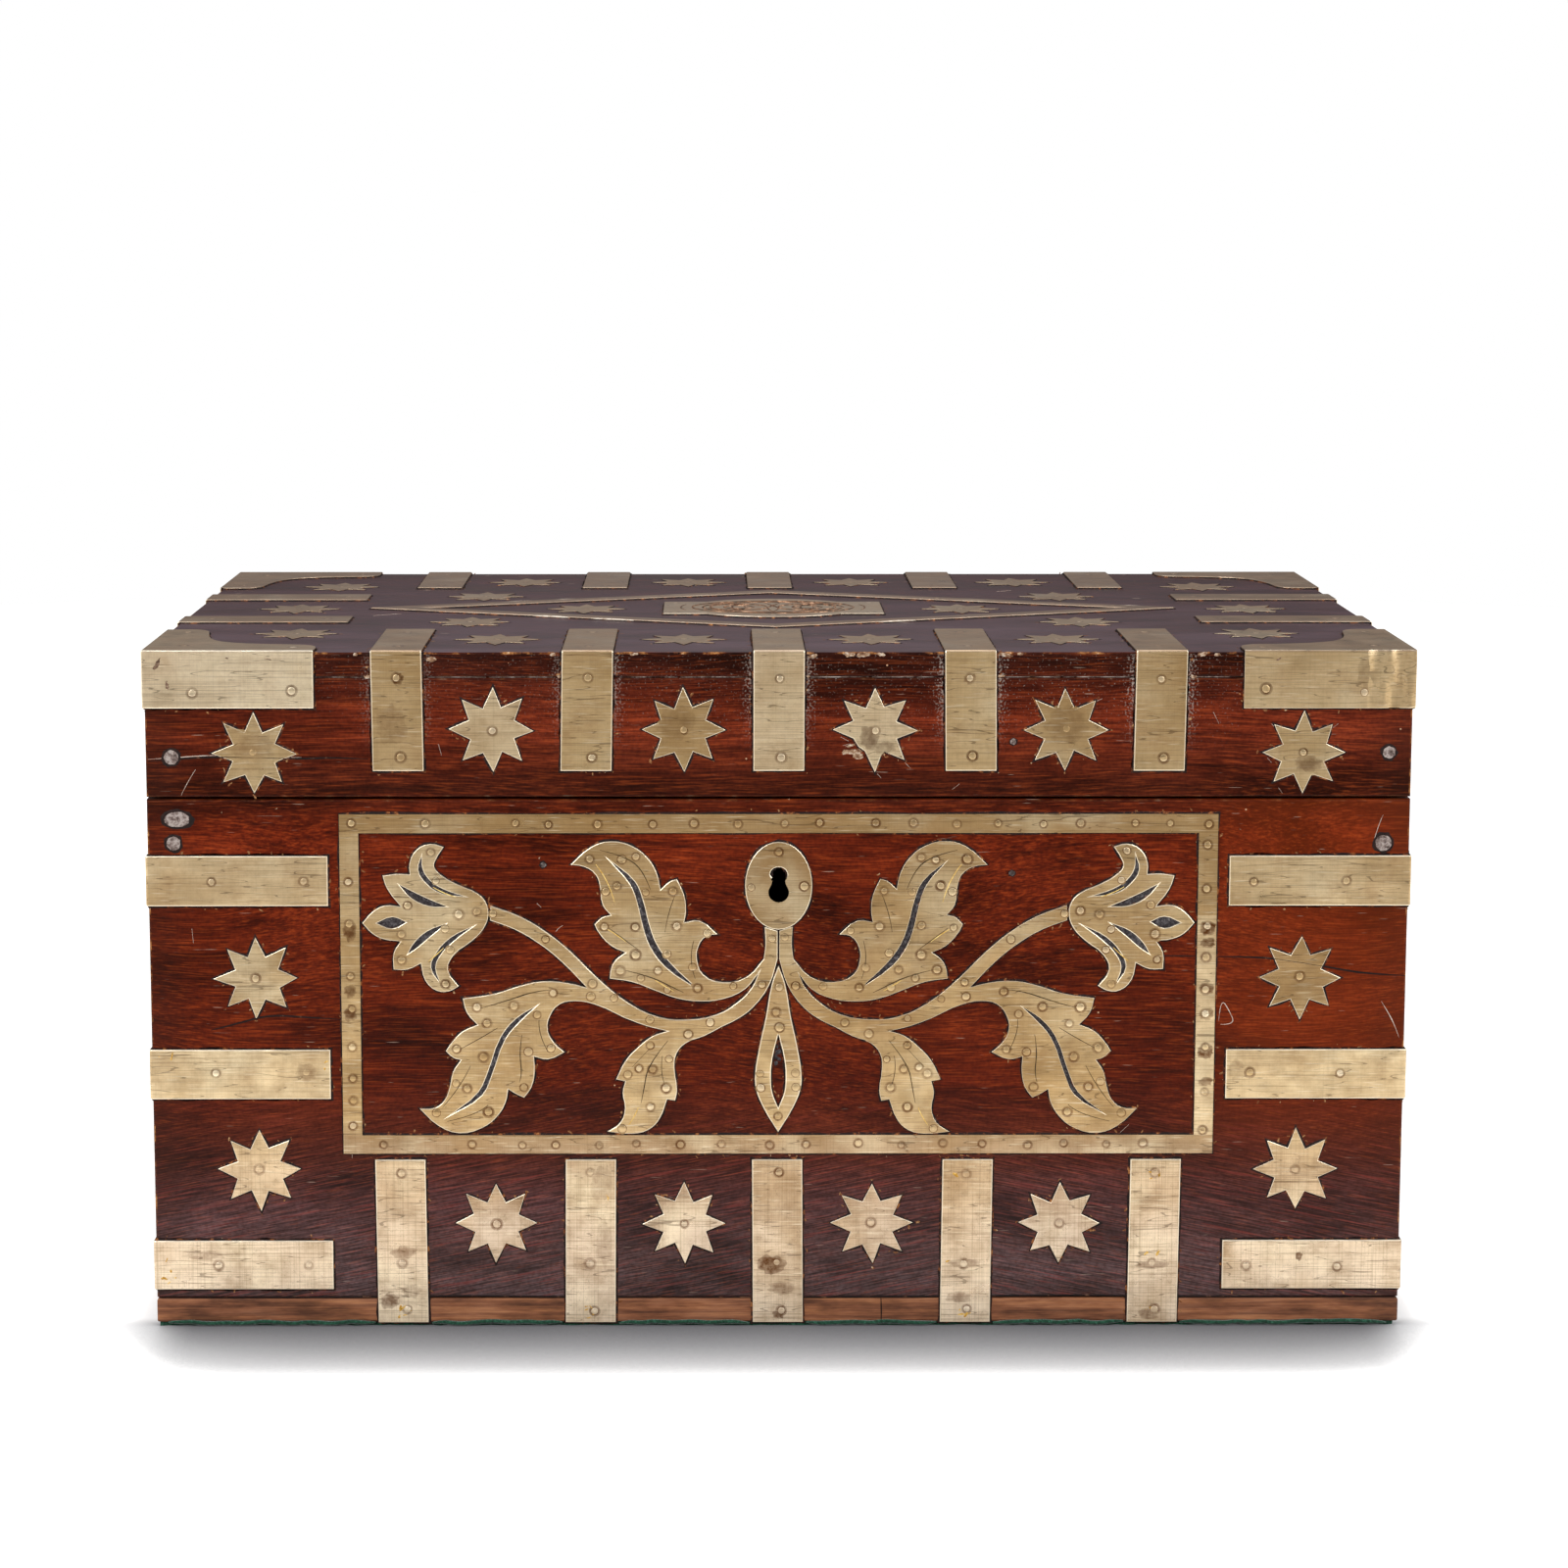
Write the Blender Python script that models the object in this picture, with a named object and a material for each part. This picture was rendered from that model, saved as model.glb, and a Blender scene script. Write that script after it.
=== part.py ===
"""Brass-bound wooden document box: hinged lid, box lock, pierced brass foliage.

Metres, +Z up. The origin is on the floor under the middle of the box, and the front faces -Y.
The lid turns on two butt hinges set in from the back. The back edges of the body and the lid are
chamfered alike, and the lid stops where the two chamfers meet.
"""
import math

import bmesh
import bpy
from mathutils import Matrix, Vector

MM = 0.001

# Wooden body and lid
BOX_WIDTH = 0.4378
BOX_DEPTH = 0.2528
WALL = 0.015
BODY_WALL_HEIGHT = 0.1781
BASE_THICKNESS = 0.0087
BAIZE_THICKNESS = 0.0012
BAIZE_INSET = 0.001
LID_RAIL_HEIGHT = 0.0417
LID_BOARD_THICKNESS = 0.0086
SEAM_GAP = 0.0008
SEAT_GAP = 0.0003

# Sheet brass, straps and brackets
BRASS = 0.0008
STRAP_WIDTH = 0.0178
STRAP_COLUMNS = 5
FRONT_STRAP_LEG = 0.060
REAR_STRAP_LEG = 0.057
END_STRAP_LEG = 0.062
END_STRAP_OFFSET = 0.036
STRAP_SEAM_MARGIN = 0.0092
STRAP_TO_BRACKET = 0.0195
BRACKET_ARM = 0.0585
BRACKET_DROP = 0.0195
BRACKET_END_WIDTH = 0.0155
BRACKET_END_RADIUS = 0.007
BRACKET_THROAT = 0.024
CORNER_STRAP_LEG = 0.0625
CORNER_STRAP_TOP_INSET = 0.0286
CORNER_STRAP_FOOT_INSET = 0.021
FOOT_STRAP_HEIGHT = 0.0592

# Lozenge and medallion on the lid
LOZENGE_STRIP = 0.007
LOZENGE_STRAP_GAP = 0.0074
LOZENGE_TIP_GAP = 0.0039
MEDALLION_LENGTH = 0.083
MEDALLION_WIDTH = 0.038
MEDALLION_OVAL_LENGTH = 0.067
MEDALLION_OVAL_WIDTH = 0.0575

# Eight-pointed stars, fused to the board that carries them as shallow relief
STAR_RADIUS = 0.0147
STAR_VALLEY = 0.56
STAR_POINTS = 8
STAR_RELIEF = 0.0006
STAR_ROOT = 0.0004
TOP_STAR_INSET = 0.034
SIDE_STAR_INSET = 0.085
SIDE_STAR_SHIFT = 0.013
END_STAR_INSET = 0.047
END_STAR_SPREAD = 0.076
MIDDLE_STAR_INSET = 0.039
MEDALLION_STAR_GAP = 0.0148
LID_STAR_DROP = 0.027
LID_END_STAR_INSET = 0.0375
LID_END_STAR_MARGIN = 0.0011
BODY_STAR_INSET = 0.037
FOOT_STAR_RISE = 0.036

# Front panel with its foliage
PANEL_STRIP = 0.0066
PANEL_TOP_MARGIN = 0.0051
PANEL_FOOT_GAP = 0.0021
PANEL_SIDE_GAP = 0.0041
FOLIAGE_SIDE_GAP = 0.001
FOLIAGE_TOP_GAP = 0.0029
FOLIAGE_FOOT_GAP = 0.0005
CURVE_STEPS = 3

# Keyhole and its escutcheon
KEYHOLE_DROP = 0.0302
KEYHOLE_EYE_RADIUS = 0.00265
KEYHOLE_EYE_RISE = 0.0038
KEYHOLE_FOOT_RADIUS = 0.0039
KEYHOLE_FOOT_FALL = 0.0024
ESCUTCHEON_WIDTH = 0.0234
ESCUTCHEON_HEIGHT = 0.031
NECK_HALF_WIDTH = 0.0049
NECK_HALF_SLIT = 0.0003
NECK_GAP = 0.0004

# Butt hinges
HINGE_LENGTH = 0.060
HINGE_SPACING = 0.260
HINGE_SETBACK = 0.0045
LID_OPEN_DEG = 100
KNUCKLES = 5
KNUCKLE_RADIUS = 0.003
HINGE_PIN_RADIUS = 0.0013
LEAF_THICKNESS = 0.0015
LEAF_MARGIN = 0.0015

# Box lock and the link plate that it holds
LOCK_WIDTH = 0.064
LOCK_HEIGHT = 0.046
LOCK_DEPTH = 0.010
LOCK_PLATE = 0.0012
SELVEDGE = 0.002
LOOP_SPACING = 0.032
LOOP_THICKNESS = 0.0025
LOOP_DROP = 0.015
LOOP_LEG = 0.0013
LOOP_SILL = 0.0018
LOOP_EYE_HEIGHT = 0.006
LOOP_CLEARANCE = 0.0009
SLOT_CLEARANCE = 0.0006
LINK_PLATE_LENGTH = 0.052
LINK_PLATE_WIDTH = 0.008
LINK_PLATE_THICKNESS = 0.0016
BOLT_TRAVEL = 0.006
BOLT_REST_GAP = 0.001
BOLT_BAR_HEIGHT = 0.0044
BOLT_POST = 0.0035
BOLT_TAIL = 0.005
BOLT_PLAY = 0.0005
BOLT_GUIDE = 0.006
TALON_WIDTH = 0.007
TALON_HEIGHT = 0.0024
SPRING_LENGTH = 0.018
SPRING_BOW = 0.0032
SPRING_THICKNESS = 0.0006

# Levels and planes worked out from the sizes above
BASE_Z = BAIZE_THICKNESS + SEAT_GAP
BODY_Z = BASE_Z + BASE_THICKNESS + SEAT_GAP
SEAM_Z = BODY_Z + BODY_WALL_HEIGHT
RAIL_Z = SEAM_Z + SEAM_GAP
LID_BOARD_Z = RAIL_Z + LID_RAIL_HEIGHT + SEAT_GAP
TOP_Z = LID_BOARD_Z + LID_BOARD_THICKNESS
SIDE_X = BOX_WIDTH / 2
FRONT_Y = -BOX_DEPTH / 2
BACK_Y = BOX_DEPTH / 2
INNER_FRONT_Y = FRONT_Y + WALL
AXIS_Y = BACK_Y - HINGE_SETBACK
AXIS_Z = SEAM_Z + SEAM_GAP / 2
STRAP_DROP = TOP_Z - RAIL_Z - STRAP_SEAM_MARGIN
OUTER_STRAP_X = SIDE_X - BRACKET_ARM - STRAP_TO_BRACKET - STRAP_WIDTH / 2
STRAP_PITCH = 2 * OUTER_STRAP_X / (STRAP_COLUMNS - 1)
STRAP_X = [STRAP_PITCH * (i - (STRAP_COLUMNS - 1) / 2) for i in range(STRAP_COLUMNS)]
STAR_X = [x + STRAP_PITCH / 2 for x in STRAP_X[:-1]]
PANEL_HALF = SIDE_X - CORNER_STRAP_LEG - PANEL_SIDE_GAP
PANEL_TOP = SEAM_Z - PANEL_TOP_MARGIN
PANEL_FOOT = BASE_Z + FOOT_STRAP_HEIGHT + PANEL_FOOT_GAP
KEYHOLE_Z = SEAM_Z - KEYHOLE_DROP
LOCK_ROOM_Y = INNER_FRONT_Y - LOCK_DEPTH + LOCK_PLATE
LOCK_CAP_Y = INNER_FRONT_Y - LOCK_PLATE
BOLT_Y = (LOCK_ROOM_Y + LOCK_CAP_Y) / 2
LOOP_FOOT_Z = RAIL_Z - LOOP_DROP
BOLT_TOP_Z = LOOP_FOOT_Z - BOLT_REST_GAP
BOLT_Z = BOLT_TOP_Z - BOLT_BAR_HEIGHT / 2

# Frames for outlines: (u, v) lies on the face and w stands out of it
ON_FRONT = Matrix.Translation((0, FRONT_Y, 0)) @ Matrix.Rotation(math.pi / 2, 4, "X")
ON_TOP = Matrix.Translation((0, 0, TOP_Z))
ALONG_X = Matrix(((0, 0, 1, 0), (1, 0, 0, 0), (0, 1, 0, 0), (0, 0, 0, 1)))

# Foliage edges in millimetres: out from the centre line, and up from the keyhole's centre.
# Each row starts at a sharp tip or notch and runs smoothly to the start of the next row.
SPRAY_EDGE = [
    # main stem from the neck to the inner leaf
    [(0.3, -25.8), (3.2, -35), (9, -43), (14, -46.8)],
    # inner leaf
    [(20, -49.8), (25.8, -52.9), (32.4, -55.5), (35.6, -59.2), (36.3, -64.2), (35.4, -72.3)],
    [(36.1, -75.9)],
    [(38.9, -75.4), (41.9, -82.9), (45.8, -86.4), (51, -87.6)],
    [(60.1, -86.9), (55.4, -83.6), (53.7, -78.5), (54.5, -73)],
    [(53.6, -69)],
    [(56.8, -68.3), (53.5, -61.7), (48.9, -56.7), (43.9, -52.9)],
    # stem between the two lower leaves
    [(38.9, -51.2), (46, -49.4)],
    # outer leaf, lower edge
    [(53.6, -46.6), (64.3, -41.7), (71, -40.6), (76.3, -41.7), (79.7, -45.8), (80.5, -50.9), (78.2, -55.4)],
    [(74.6, -58.6), (80.6, -61.2)],
    [(85.4, -60.2), (85.2, -65.5), (86.4, -71.1)],
    [(89, -74.8), (91.7, -73.5)],
    [(94.5, -71.8), (95.5, -76.6), (98.9, -81.9), (104.1, -85.7), (111.9, -87.4), (119, -84.8)],
    [(125.7, -78.6), (120.1, -78.2), (116.9, -75.6), (115, -70.8), (113.8, -65.5)],
    [(111.1, -61.4), (113.6, -60.6)],
    [(116.3, -58.2), (113.9, -54.8), (110.4, -51.3)],
    [(105.1, -48.9), (108.7, -44.8)],
    # outer leaf, upper edge
    [(110.2, -39.6), (98.9, -37.9), (90.7, -35.3), (82.5, -33.6), (73.4, -34.2)],
    # stem out to the flower and back
    [(66.9, -35.8), (75.6, -26.7), (83.5, -20.3), (92, -15.3)],
    [(100.4, -12.2)],
    [(100.2, -7), (89.9, -10.8), (80.7, -16.3), (72.2, -23.3), (63.3, -32.2), (52, -41.4), (41.7, -46.2),
     (32.1, -47.1), (21.5, -45.3), (14.8, -41.4), (9.3, -35.8)],
    # upper leaf, lower edge
    [(7.1, -31), (11.5, -36.3), (19, -39.8), (27.1, -40.7), (35.1, -39.7), (43.2, -36.8), (51.2, -33.8)],
    [(58.9, -32.7), (58.3, -28.8), (56.7, -26)],
    [(53.4, -23.5), (58.2, -21.2), (62.7, -16.4)],
    [(64.1, -13.6), (61.5, -11.2)],
    [(58.5, -10.3), (61.2, -6.9), (62.1, -0.6), (63.5, 3.7), (67.5, 6.6)],
    # upper leaf, upper edge
    [(72.5, 7.3), (64.7, 14), (58.2, 15.7), (51.2, 14.2), (45.6, 10), (42.4, 4.7)],
    [(41, -1.3), (37.6, 1.6)],
    [(35.3, 2.3), (32.8, -3.4), (32.2, -8.9)],
    [(32.8, -12.9), (27.5, -12.3)],
    [(21.1, -17.2), (25, -17.7), (28, -21.7), (28.3, -26.5), (26.1, -31.3), (19.5, -33.9), (11, -32)],
    [(5.2, -25.7), (4.6, -21)],
]
SPRAY_SLOTS = [
    # mid-vein of the upper leaf
    [[(58, 8.3), (51.4, 0.3), (49.1, -5.7), (47.1, -14.3), (44.6, -21.4), (39.6, -28.2)],
     [(28.7, -36), (38.1, -26.9), (42.7, -20.4), (45.1, -13.8), (47.3, -5.1), (49.9, 1.2)]],
    # mid-vein of the outer leaf
    [[(85.2, -42.8), (91.5, -46.8), (96.8, -53.1), (101.6, -65.9), (104.9, -72.8)],
     [(113.9, -80.3), (103.7, -73.7), (100.2, -66.3), (95.4, -53.7), (90.5, -47.8)]],
]
TULIP_EDGE = [
    [(116.2, 13.7), (120.8, 14.8), (125.6, 12.8), (128.2, 7.8)],
    [(128.1, 4), (132.8, 4.2)],
    [(137.6, 3.5), (136, -1.1)],
    [(131.4, -7.3), (137.2, -7), (141.3, -9.2)],
    [(144.8, -13.1), (141.2, -16.9), (137.2, -18.8)],
    [(131.6, -19.5), (134, -23.6)],
    [(134.1, -29.4), (129.3, -29.4)],
    [(124.6, -27.3), (123.1, -33.3), (119.1, -36.9), (115, -37.1)],
    [(111.4, -35.3), (115.2, -29.5), (113.3, -24.6), (106.5, -19.2), (102.6, -15), (100.9, -9.9), (102, -5.4),
     (104.5, -2.8), (111.5, 0.4), (117.1, 3.7), (119.6, 6.8), (119.1, 9)],
]
TULIP_SLOTS = [
    [[(123.9, 10.4), (125.1, 5.7), (122.4, 0.9), (117, -2.7)],
     [(109.5, -3.7), (116.4, -1.3), (121.2, 1.9), (123.7, 6.1)]],
    [[(131.7, 0.2), (127.6, -4.3), (121.4, -7.1)], [(115.6, -7.3), (120.8, -5.1), (126.4, -2.5)]],
    [[(139.8, -13.1), (134.3, -15)], [(129.6, -12.8), (134.2, -11)]],
    [[(116, -13.5), (122.4, -16.1), (127.2, -20.6)], [(129, -23.8), (126, -21.8), (121.2, -17.7)]],
    [[(106.7, -14.5), (114, -18.2), (119.3, -23.9), (121, -28.7)],
     [(118.1, -33.9), (119.6, -28.7), (118.1, -24.7), (113.2, -19.4)]],
]
PENDANT_EDGE = [
    [(0, -27.8), (2.4, -34.6), (4.4, -46.1), (6.8, -57.2), (8.2, -66.8), (7.9, -71.6), (5.3, -78.3)],
    [(0, -87.3), (-5.3, -78.3), (-7.9, -71.6), (-8.2, -66.8), (-6.8, -57.2), (-4.4, -46.1), (-2.4, -34.6)],
]
PENDANT_SLOTS = [
    [[(0, -52.7), (2, -61), (2.5, -67.5), (2, -73)], [(0, -78.1), (-2, -73), (-2.5, -67.5), (-2, -61)]],
]


def clear_scene():
    """Empty the scene before the box is built."""
    for thing in list(bpy.data.objects):
        bpy.data.objects.remove(thing)


def srgb(code):
    """Linear colour of a hex code."""
    parts = [int(code[i:i + 2], 16) / 255 for i in (0, 2, 4)]
    return [c / 12.92 if c <= 0.04045 else ((c + 0.055) / 1.055) ** 2.4 for c in parts]


def finish(name, code, roughness, metallic):
    """Principled material of one colour."""
    material = bpy.data.materials.new(name)
    material.use_nodes = True
    shader = material.node_tree.nodes["Principled BSDF"]
    shader.inputs["Base Color"].default_value = (*srgb(code), 1)
    shader.inputs["Roughness"].default_value = roughness
    shader.inputs["Metallic"].default_value = metallic
    return material


def empty(name, location):
    """Parent empty at a joint or at the box's own origin."""
    anchor = bpy.data.objects.new(name, None)
    anchor.location = location
    bpy.context.collection.objects.link(anchor)
    return anchor


def add_object(name, data, material, parent, location, turn=Matrix.Identity(4)):
    """Link a mesh or curve as a named piece at a place in the box's frame."""
    piece = bpy.data.objects.new(name, data)
    bpy.context.collection.objects.link(piece)
    data.materials.append(material)
    piece.parent = parent
    piece.location = Vector(location) - parent.location
    piece.rotation_euler = turn.to_euler()
    return piece


def make_mesh(name, form):
    """Mesh from a finished bmesh, with its faces pointing out."""
    bmesh.ops.recalc_face_normals(form, faces=form.faces)
    mesh = bpy.data.meshes.new(name)
    form.to_mesh(mesh)
    form.free()
    return mesh


def round_off(mesh):
    """Shade round faces smooth and keep real edges sharp."""
    mesh.shade_smooth()
    mesh.set_sharp_from_angle(angle=math.radians(40))


def add_block(form, low, high):
    """Rectangular block between two corners."""
    size = Vector(high) - Vector(low)
    middle = (Vector(high) + Vector(low)) / 2
    bmesh.ops.create_cube(form, size=1, matrix=Matrix.Translation(middle) @ Matrix.Diagonal((*size, 1)))


def add_prism(form, outline, low, high, frame):
    """Outline on a frame's (u, v) plane, extruded from w = low to w = high."""
    floor = form.faces.new([form.verts.new(frame @ Vector((u, v, low))) for u, v in outline])
    lifted = bmesh.ops.extrude_face_region(form, geom=[floor])["geom"]
    rise = frame.to_3x3() @ Vector((0, 0, high - low))
    bmesh.ops.translate(form, verts=[v for v in lifted if isinstance(v, bmesh.types.BMVert)], vec=rise)


def add_rod(form, radius, start_x, end_x, y, z, segments=16):
    """Round bar along X."""
    place = Matrix.Translation(((start_x + end_x) / 2, y, z)) @ Matrix.Rotation(math.pi / 2, 4, "Y")
    bmesh.ops.create_cone(form, cap_ends=True, segments=segments, radius1=radius, radius2=radius,
                          depth=end_x - start_x, matrix=place)


def shape(piece, operation, add, *args):
    """Cut a piece with a form, or unite it with one. The form is drawn in the box's frame."""
    form = bmesh.new()
    add(form, *args)
    tool = bpy.data.objects.new("tool", make_mesh("tool", form))
    bpy.context.collection.objects.link(tool)
    modifier = piece.modifiers.new("shape", "BOOLEAN")
    modifier.operation = operation
    modifier.object = tool
    bpy.context.view_layer.update()
    graph = bpy.context.evaluated_depsgraph_get()
    shaped = bpy.data.meshes.new_from_object(piece.evaluated_get(graph))
    piece.modifiers.clear()
    piece.data = shaped
    bpy.data.objects.remove(tool)


def block(name, low, high, material, parent):
    """Rectangular piece with its origin at its middle."""
    middle = (Vector(low) + Vector(high)) / 2
    form = bmesh.new()
    add_block(form, Vector(low) - middle, Vector(high) - middle)
    return add_object(name, make_mesh(name, form), material, parent, middle)


def arc(radius, start_deg, end_deg, steps, centre=(0, 0)):
    """Points of a circular arc, both ends included."""
    angles = [math.radians(start_deg + (end_deg - start_deg) * i / steps) for i in range(steps + 1)]
    return [(centre[0] + radius * math.cos(a), centre[1] + radius * math.sin(a)) for a in angles]


def star_outline(radius):
    """Eight-pointed star with one point up."""
    corners = []
    for i in range(2 * STAR_POINTS):
        reach = radius if i % 2 == 0 else radius * STAR_VALLEY
        angle = math.pi / 2 + math.pi * i / STAR_POINTS
        corners.append((reach * math.cos(angle), reach * math.sin(angle)))
    return corners


def add_stars(form, spots, frame):
    """Star prisms rooted in a board's face. A spot is (u, v, radius)."""
    for u, v, radius in spots:
        outline = [(u + du, v + dv) for du, dv in star_outline(radius)]
        add_prism(form, outline, -STAR_ROOT, STAR_RELIEF, frame)


def keyhole_outline():
    """Round eye over a wider round foot, joined by straight flanks, in the world's X and Z."""
    eye = arc(KEYHOLE_EYE_RADIUS, 0, 180, 10, (0, KEYHOLE_Z + KEYHOLE_EYE_RISE))
    foot = arc(KEYHOLE_FOOT_RADIUS, 180, 360, 10, (0, KEYHOLE_Z - KEYHOLE_FOOT_FALL))
    return eye + foot


def on_panel(u, v):
    """Place of a foliage point: the drawing fills the panel around the keyhole."""
    points = [point for row in SPRAY_EDGE + TULIP_EDGE for point in row]
    side = PANEL_HALF - PANEL_STRIP - FOLIAGE_SIDE_GAP
    foot = KEYHOLE_Z - PANEL_FOOT - PANEL_STRIP - FOLIAGE_FOOT_GAP
    top = PANEL_TOP - PANEL_STRIP - FOLIAGE_TOP_GAP - KEYHOLE_Z
    spread = side / (MM * max(x for x, z in points))
    above = top / (MM * max(z for x, z in points))
    below = foot / (MM * max(-z for x, z in points))
    return u * spread, KEYHOLE_Z + v * (above if v > 0 else below)


def neck_rows():
    """Top of a spray's neck, which follows the escutcheon's oval."""
    rows = []
    for u in (NECK_HALF_WIDTH, NECK_HALF_SLIT):
        fall = ESCUTCHEON_HEIGHT / 2 * math.sqrt(1 - (2 * u / ESCUTCHEON_WIDTH) ** 2)
        rows.append([(u, -fall - NECK_GAP)])
    return rows


def add_smooth_edge(curve, rows, hand):
    """Closed Bezier edge through foliage rows: sharp at each row's start, smooth along it."""
    knots = [(*on_panel(hand * u, v), i == 0) for row in rows for i, (u, v) in enumerate(row)]
    spline = curve.splines.new("BEZIER")
    spline.bezier_points.add(len(knots) - 1)
    for point, (x, z, sharp) in zip(spline.bezier_points, knots):
        point.co = (x, z, 0)
        point.handle_left_type = "VECTOR" if sharp else "AUTO"
        point.handle_right_type = "VECTOR" if sharp else "AUTO"
    spline.use_cyclic_u = True
    spline.resolution_u = CURVE_STEPS


def add_straight_edge(curve, outline):
    """Closed edge through every point of an outline."""
    spline = curve.splines.new("POLY")
    spline.points.add(len(outline) - 1)
    for point, (u, v) in zip(spline.points, outline):
        point.co = (u, v, 0, 1)
    spline.use_cyclic_u = True


def sheet_curve(name):
    """Empty flat curve that fills and thickens to sheet brass."""
    curve = bpy.data.curves.new(name, "CURVE")
    curve.dimensions = "2D"
    curve.fill_mode = "BOTH"
    curve.extrude = BRASS / 2
    return curve


def front_sheet(name, curve, material, parent):
    """Lay a sheet of brass on the front wall."""
    stand = FRONT_Y - SEAT_GAP - BRASS / 2
    return add_object(name, curve, material, parent, (0, stand, 0), Matrix.Rotation(math.pi / 2, 4, "X"))


def top_sheet(name, curve, material, parent):
    """Lay a sheet of brass on the lid."""
    return add_object(name, curve, material, parent, (0, 0, TOP_Z + SEAT_GAP + BRASS / 2))


def rectangle(half_u, low_v, high_v):
    """Rectangle centred on u = 0."""
    return [(-half_u, low_v), (half_u, low_v), (half_u, high_v), (-half_u, high_v)]


def build_body(wood, base_wood, cloth, parent):
    """Four walls on a base board, with baize under it."""
    inner_x = SIDE_X - WALL
    end_y = BACK_Y - WALL - SEAT_GAP
    back = block("back_wall", (-SIDE_X, BACK_Y - WALL, BODY_Z), (SIDE_X, BACK_Y, SEAM_Z), wood, parent)
    front = block("front_wall", (-SIDE_X, FRONT_Y, BODY_Z), (SIDE_X, INNER_FRONT_Y, SEAM_Z), wood, parent)
    block("left_wall", (-SIDE_X, -end_y, BODY_Z), (-inner_x, end_y, SEAM_Z), wood, parent)
    block("right_wall", (inner_x, -end_y, BODY_Z), (SIDE_X, end_y, SEAM_Z), wood, parent)
    base_high = (SIDE_X, BACK_Y, BASE_Z + BASE_THICKNESS)
    block("base_board", (-SIDE_X, FRONT_Y, BASE_Z), base_high, base_wood, parent)
    baize_x = SIDE_X - BAIZE_INSET
    baize_y = BACK_Y - BAIZE_INSET
    block("baize_sheet", (-baize_x, -baize_y, 0), (baize_x, baize_y, BAIZE_THICKNESS), cloth, parent)

    strap_levels = corner_strap_levels()
    spots = [(x, BASE_Z + FOOT_STAR_RISE, STAR_RADIUS) for x in STAR_X]
    for low, high in zip(strap_levels, strap_levels[1:]):
        for side in (-1, 1):
            spots.append((side * (SIDE_X - BODY_STAR_INSET), (low + high) / 2, STAR_RADIUS))
    shape(front, "UNION", add_stars, spots, ON_FRONT)
    return front, back


def build_lid(wood, parent):
    """Top board on four rails."""
    inner_x = SIDE_X - WALL
    end_y = BACK_Y - WALL - SEAT_GAP
    rail_top = RAIL_Z + LID_RAIL_HEIGHT
    board = block("lid_top_board", (-SIDE_X, FRONT_Y, LID_BOARD_Z), (SIDE_X, BACK_Y, TOP_Z), wood, parent)
    front = block("lid_front_rail", (-SIDE_X, FRONT_Y, RAIL_Z), (SIDE_X, INNER_FRONT_Y, rail_top), wood, parent)
    back = block("lid_back_rail", (-SIDE_X, BACK_Y - WALL, RAIL_Z), (SIDE_X, BACK_Y, rail_top), wood, parent)
    block("lid_left_rail", (-SIDE_X, -end_y, RAIL_Z), (-inner_x, end_y, rail_top), wood, parent)
    block("lid_right_rail", (inner_x, -end_y, RAIL_Z), (SIDE_X, end_y, rail_top), wood, parent)

    free_height = TOP_Z - BRACKET_DROP - RAIL_Z
    spots = [(x, TOP_Z - LID_STAR_DROP, STAR_RADIUS) for x in STAR_X]
    for side in (-1, 1):
        end_x = side * (SIDE_X - LID_END_STAR_INSET)
        spots.append((end_x, RAIL_Z + free_height / 2, free_height / 2 - LID_END_STAR_MARGIN))
    shape(front, "UNION", add_stars, spots, ON_FRONT)
    shape(board, "UNION", add_stars, top_star_spots(), ON_TOP)
    return front, back


def top_star_spots():
    """Stars on the lid: two rows of four, four by the lozenge, two in it and three at each end."""
    row_y = BACK_Y - TOP_STAR_INSET
    spots = [(x, side * row_y) for x in STAR_X for side in (-1, 1)]
    outer_x = STAR_X[-1] + SIDE_STAR_SHIFT
    for side in (-1, 1):
        spots += [(side * outer_x, front * (BACK_Y - SIDE_STAR_INSET)) for front in (-1, 1)]
        spots += [(side * (SIDE_X - END_STAR_INSET), front * END_STAR_SPREAD) for front in (-1, 1)]
        spots.append((side * (SIDE_X - MIDDLE_STAR_INSET), 0))
        spots.append((side * (MEDALLION_LENGTH / 2 + MEDALLION_STAR_GAP + STAR_RADIUS), 0))
    return [(x, y, STAR_RADIUS) for x, y in spots]


def corner_strap_levels():
    """Heights of the straps on the body's front corners, lowest first."""
    low = BASE_Z + CORNER_STRAP_FOOT_INSET
    high = SEAM_Z - CORNER_STRAP_TOP_INSET
    return [low, (low + high) / 2, high]


def angle_strap(name, leg, drop, edge, turn, material, parent):
    """Strip bent over a wooden edge: one leg runs in along local Y, the other drops along local -Z."""
    outer = SEAT_GAP + BRASS
    bend = arc(BRASS, 90, 180, 3, (-outer + BRASS, outer - BRASS))
    inner_edge = [(-outer, -drop), (-SEAT_GAP, -drop), (-SEAT_GAP, SEAT_GAP)]
    outline = [(leg, SEAT_GAP), (leg, outer), *bend, *inner_edge]
    form = bmesh.new()
    add_prism(form, outline, -STRAP_WIDTH / 2, STRAP_WIDTH / 2, ALONG_X)
    return add_object(name, make_mesh(name, form), material, parent, edge, turn)


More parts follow.
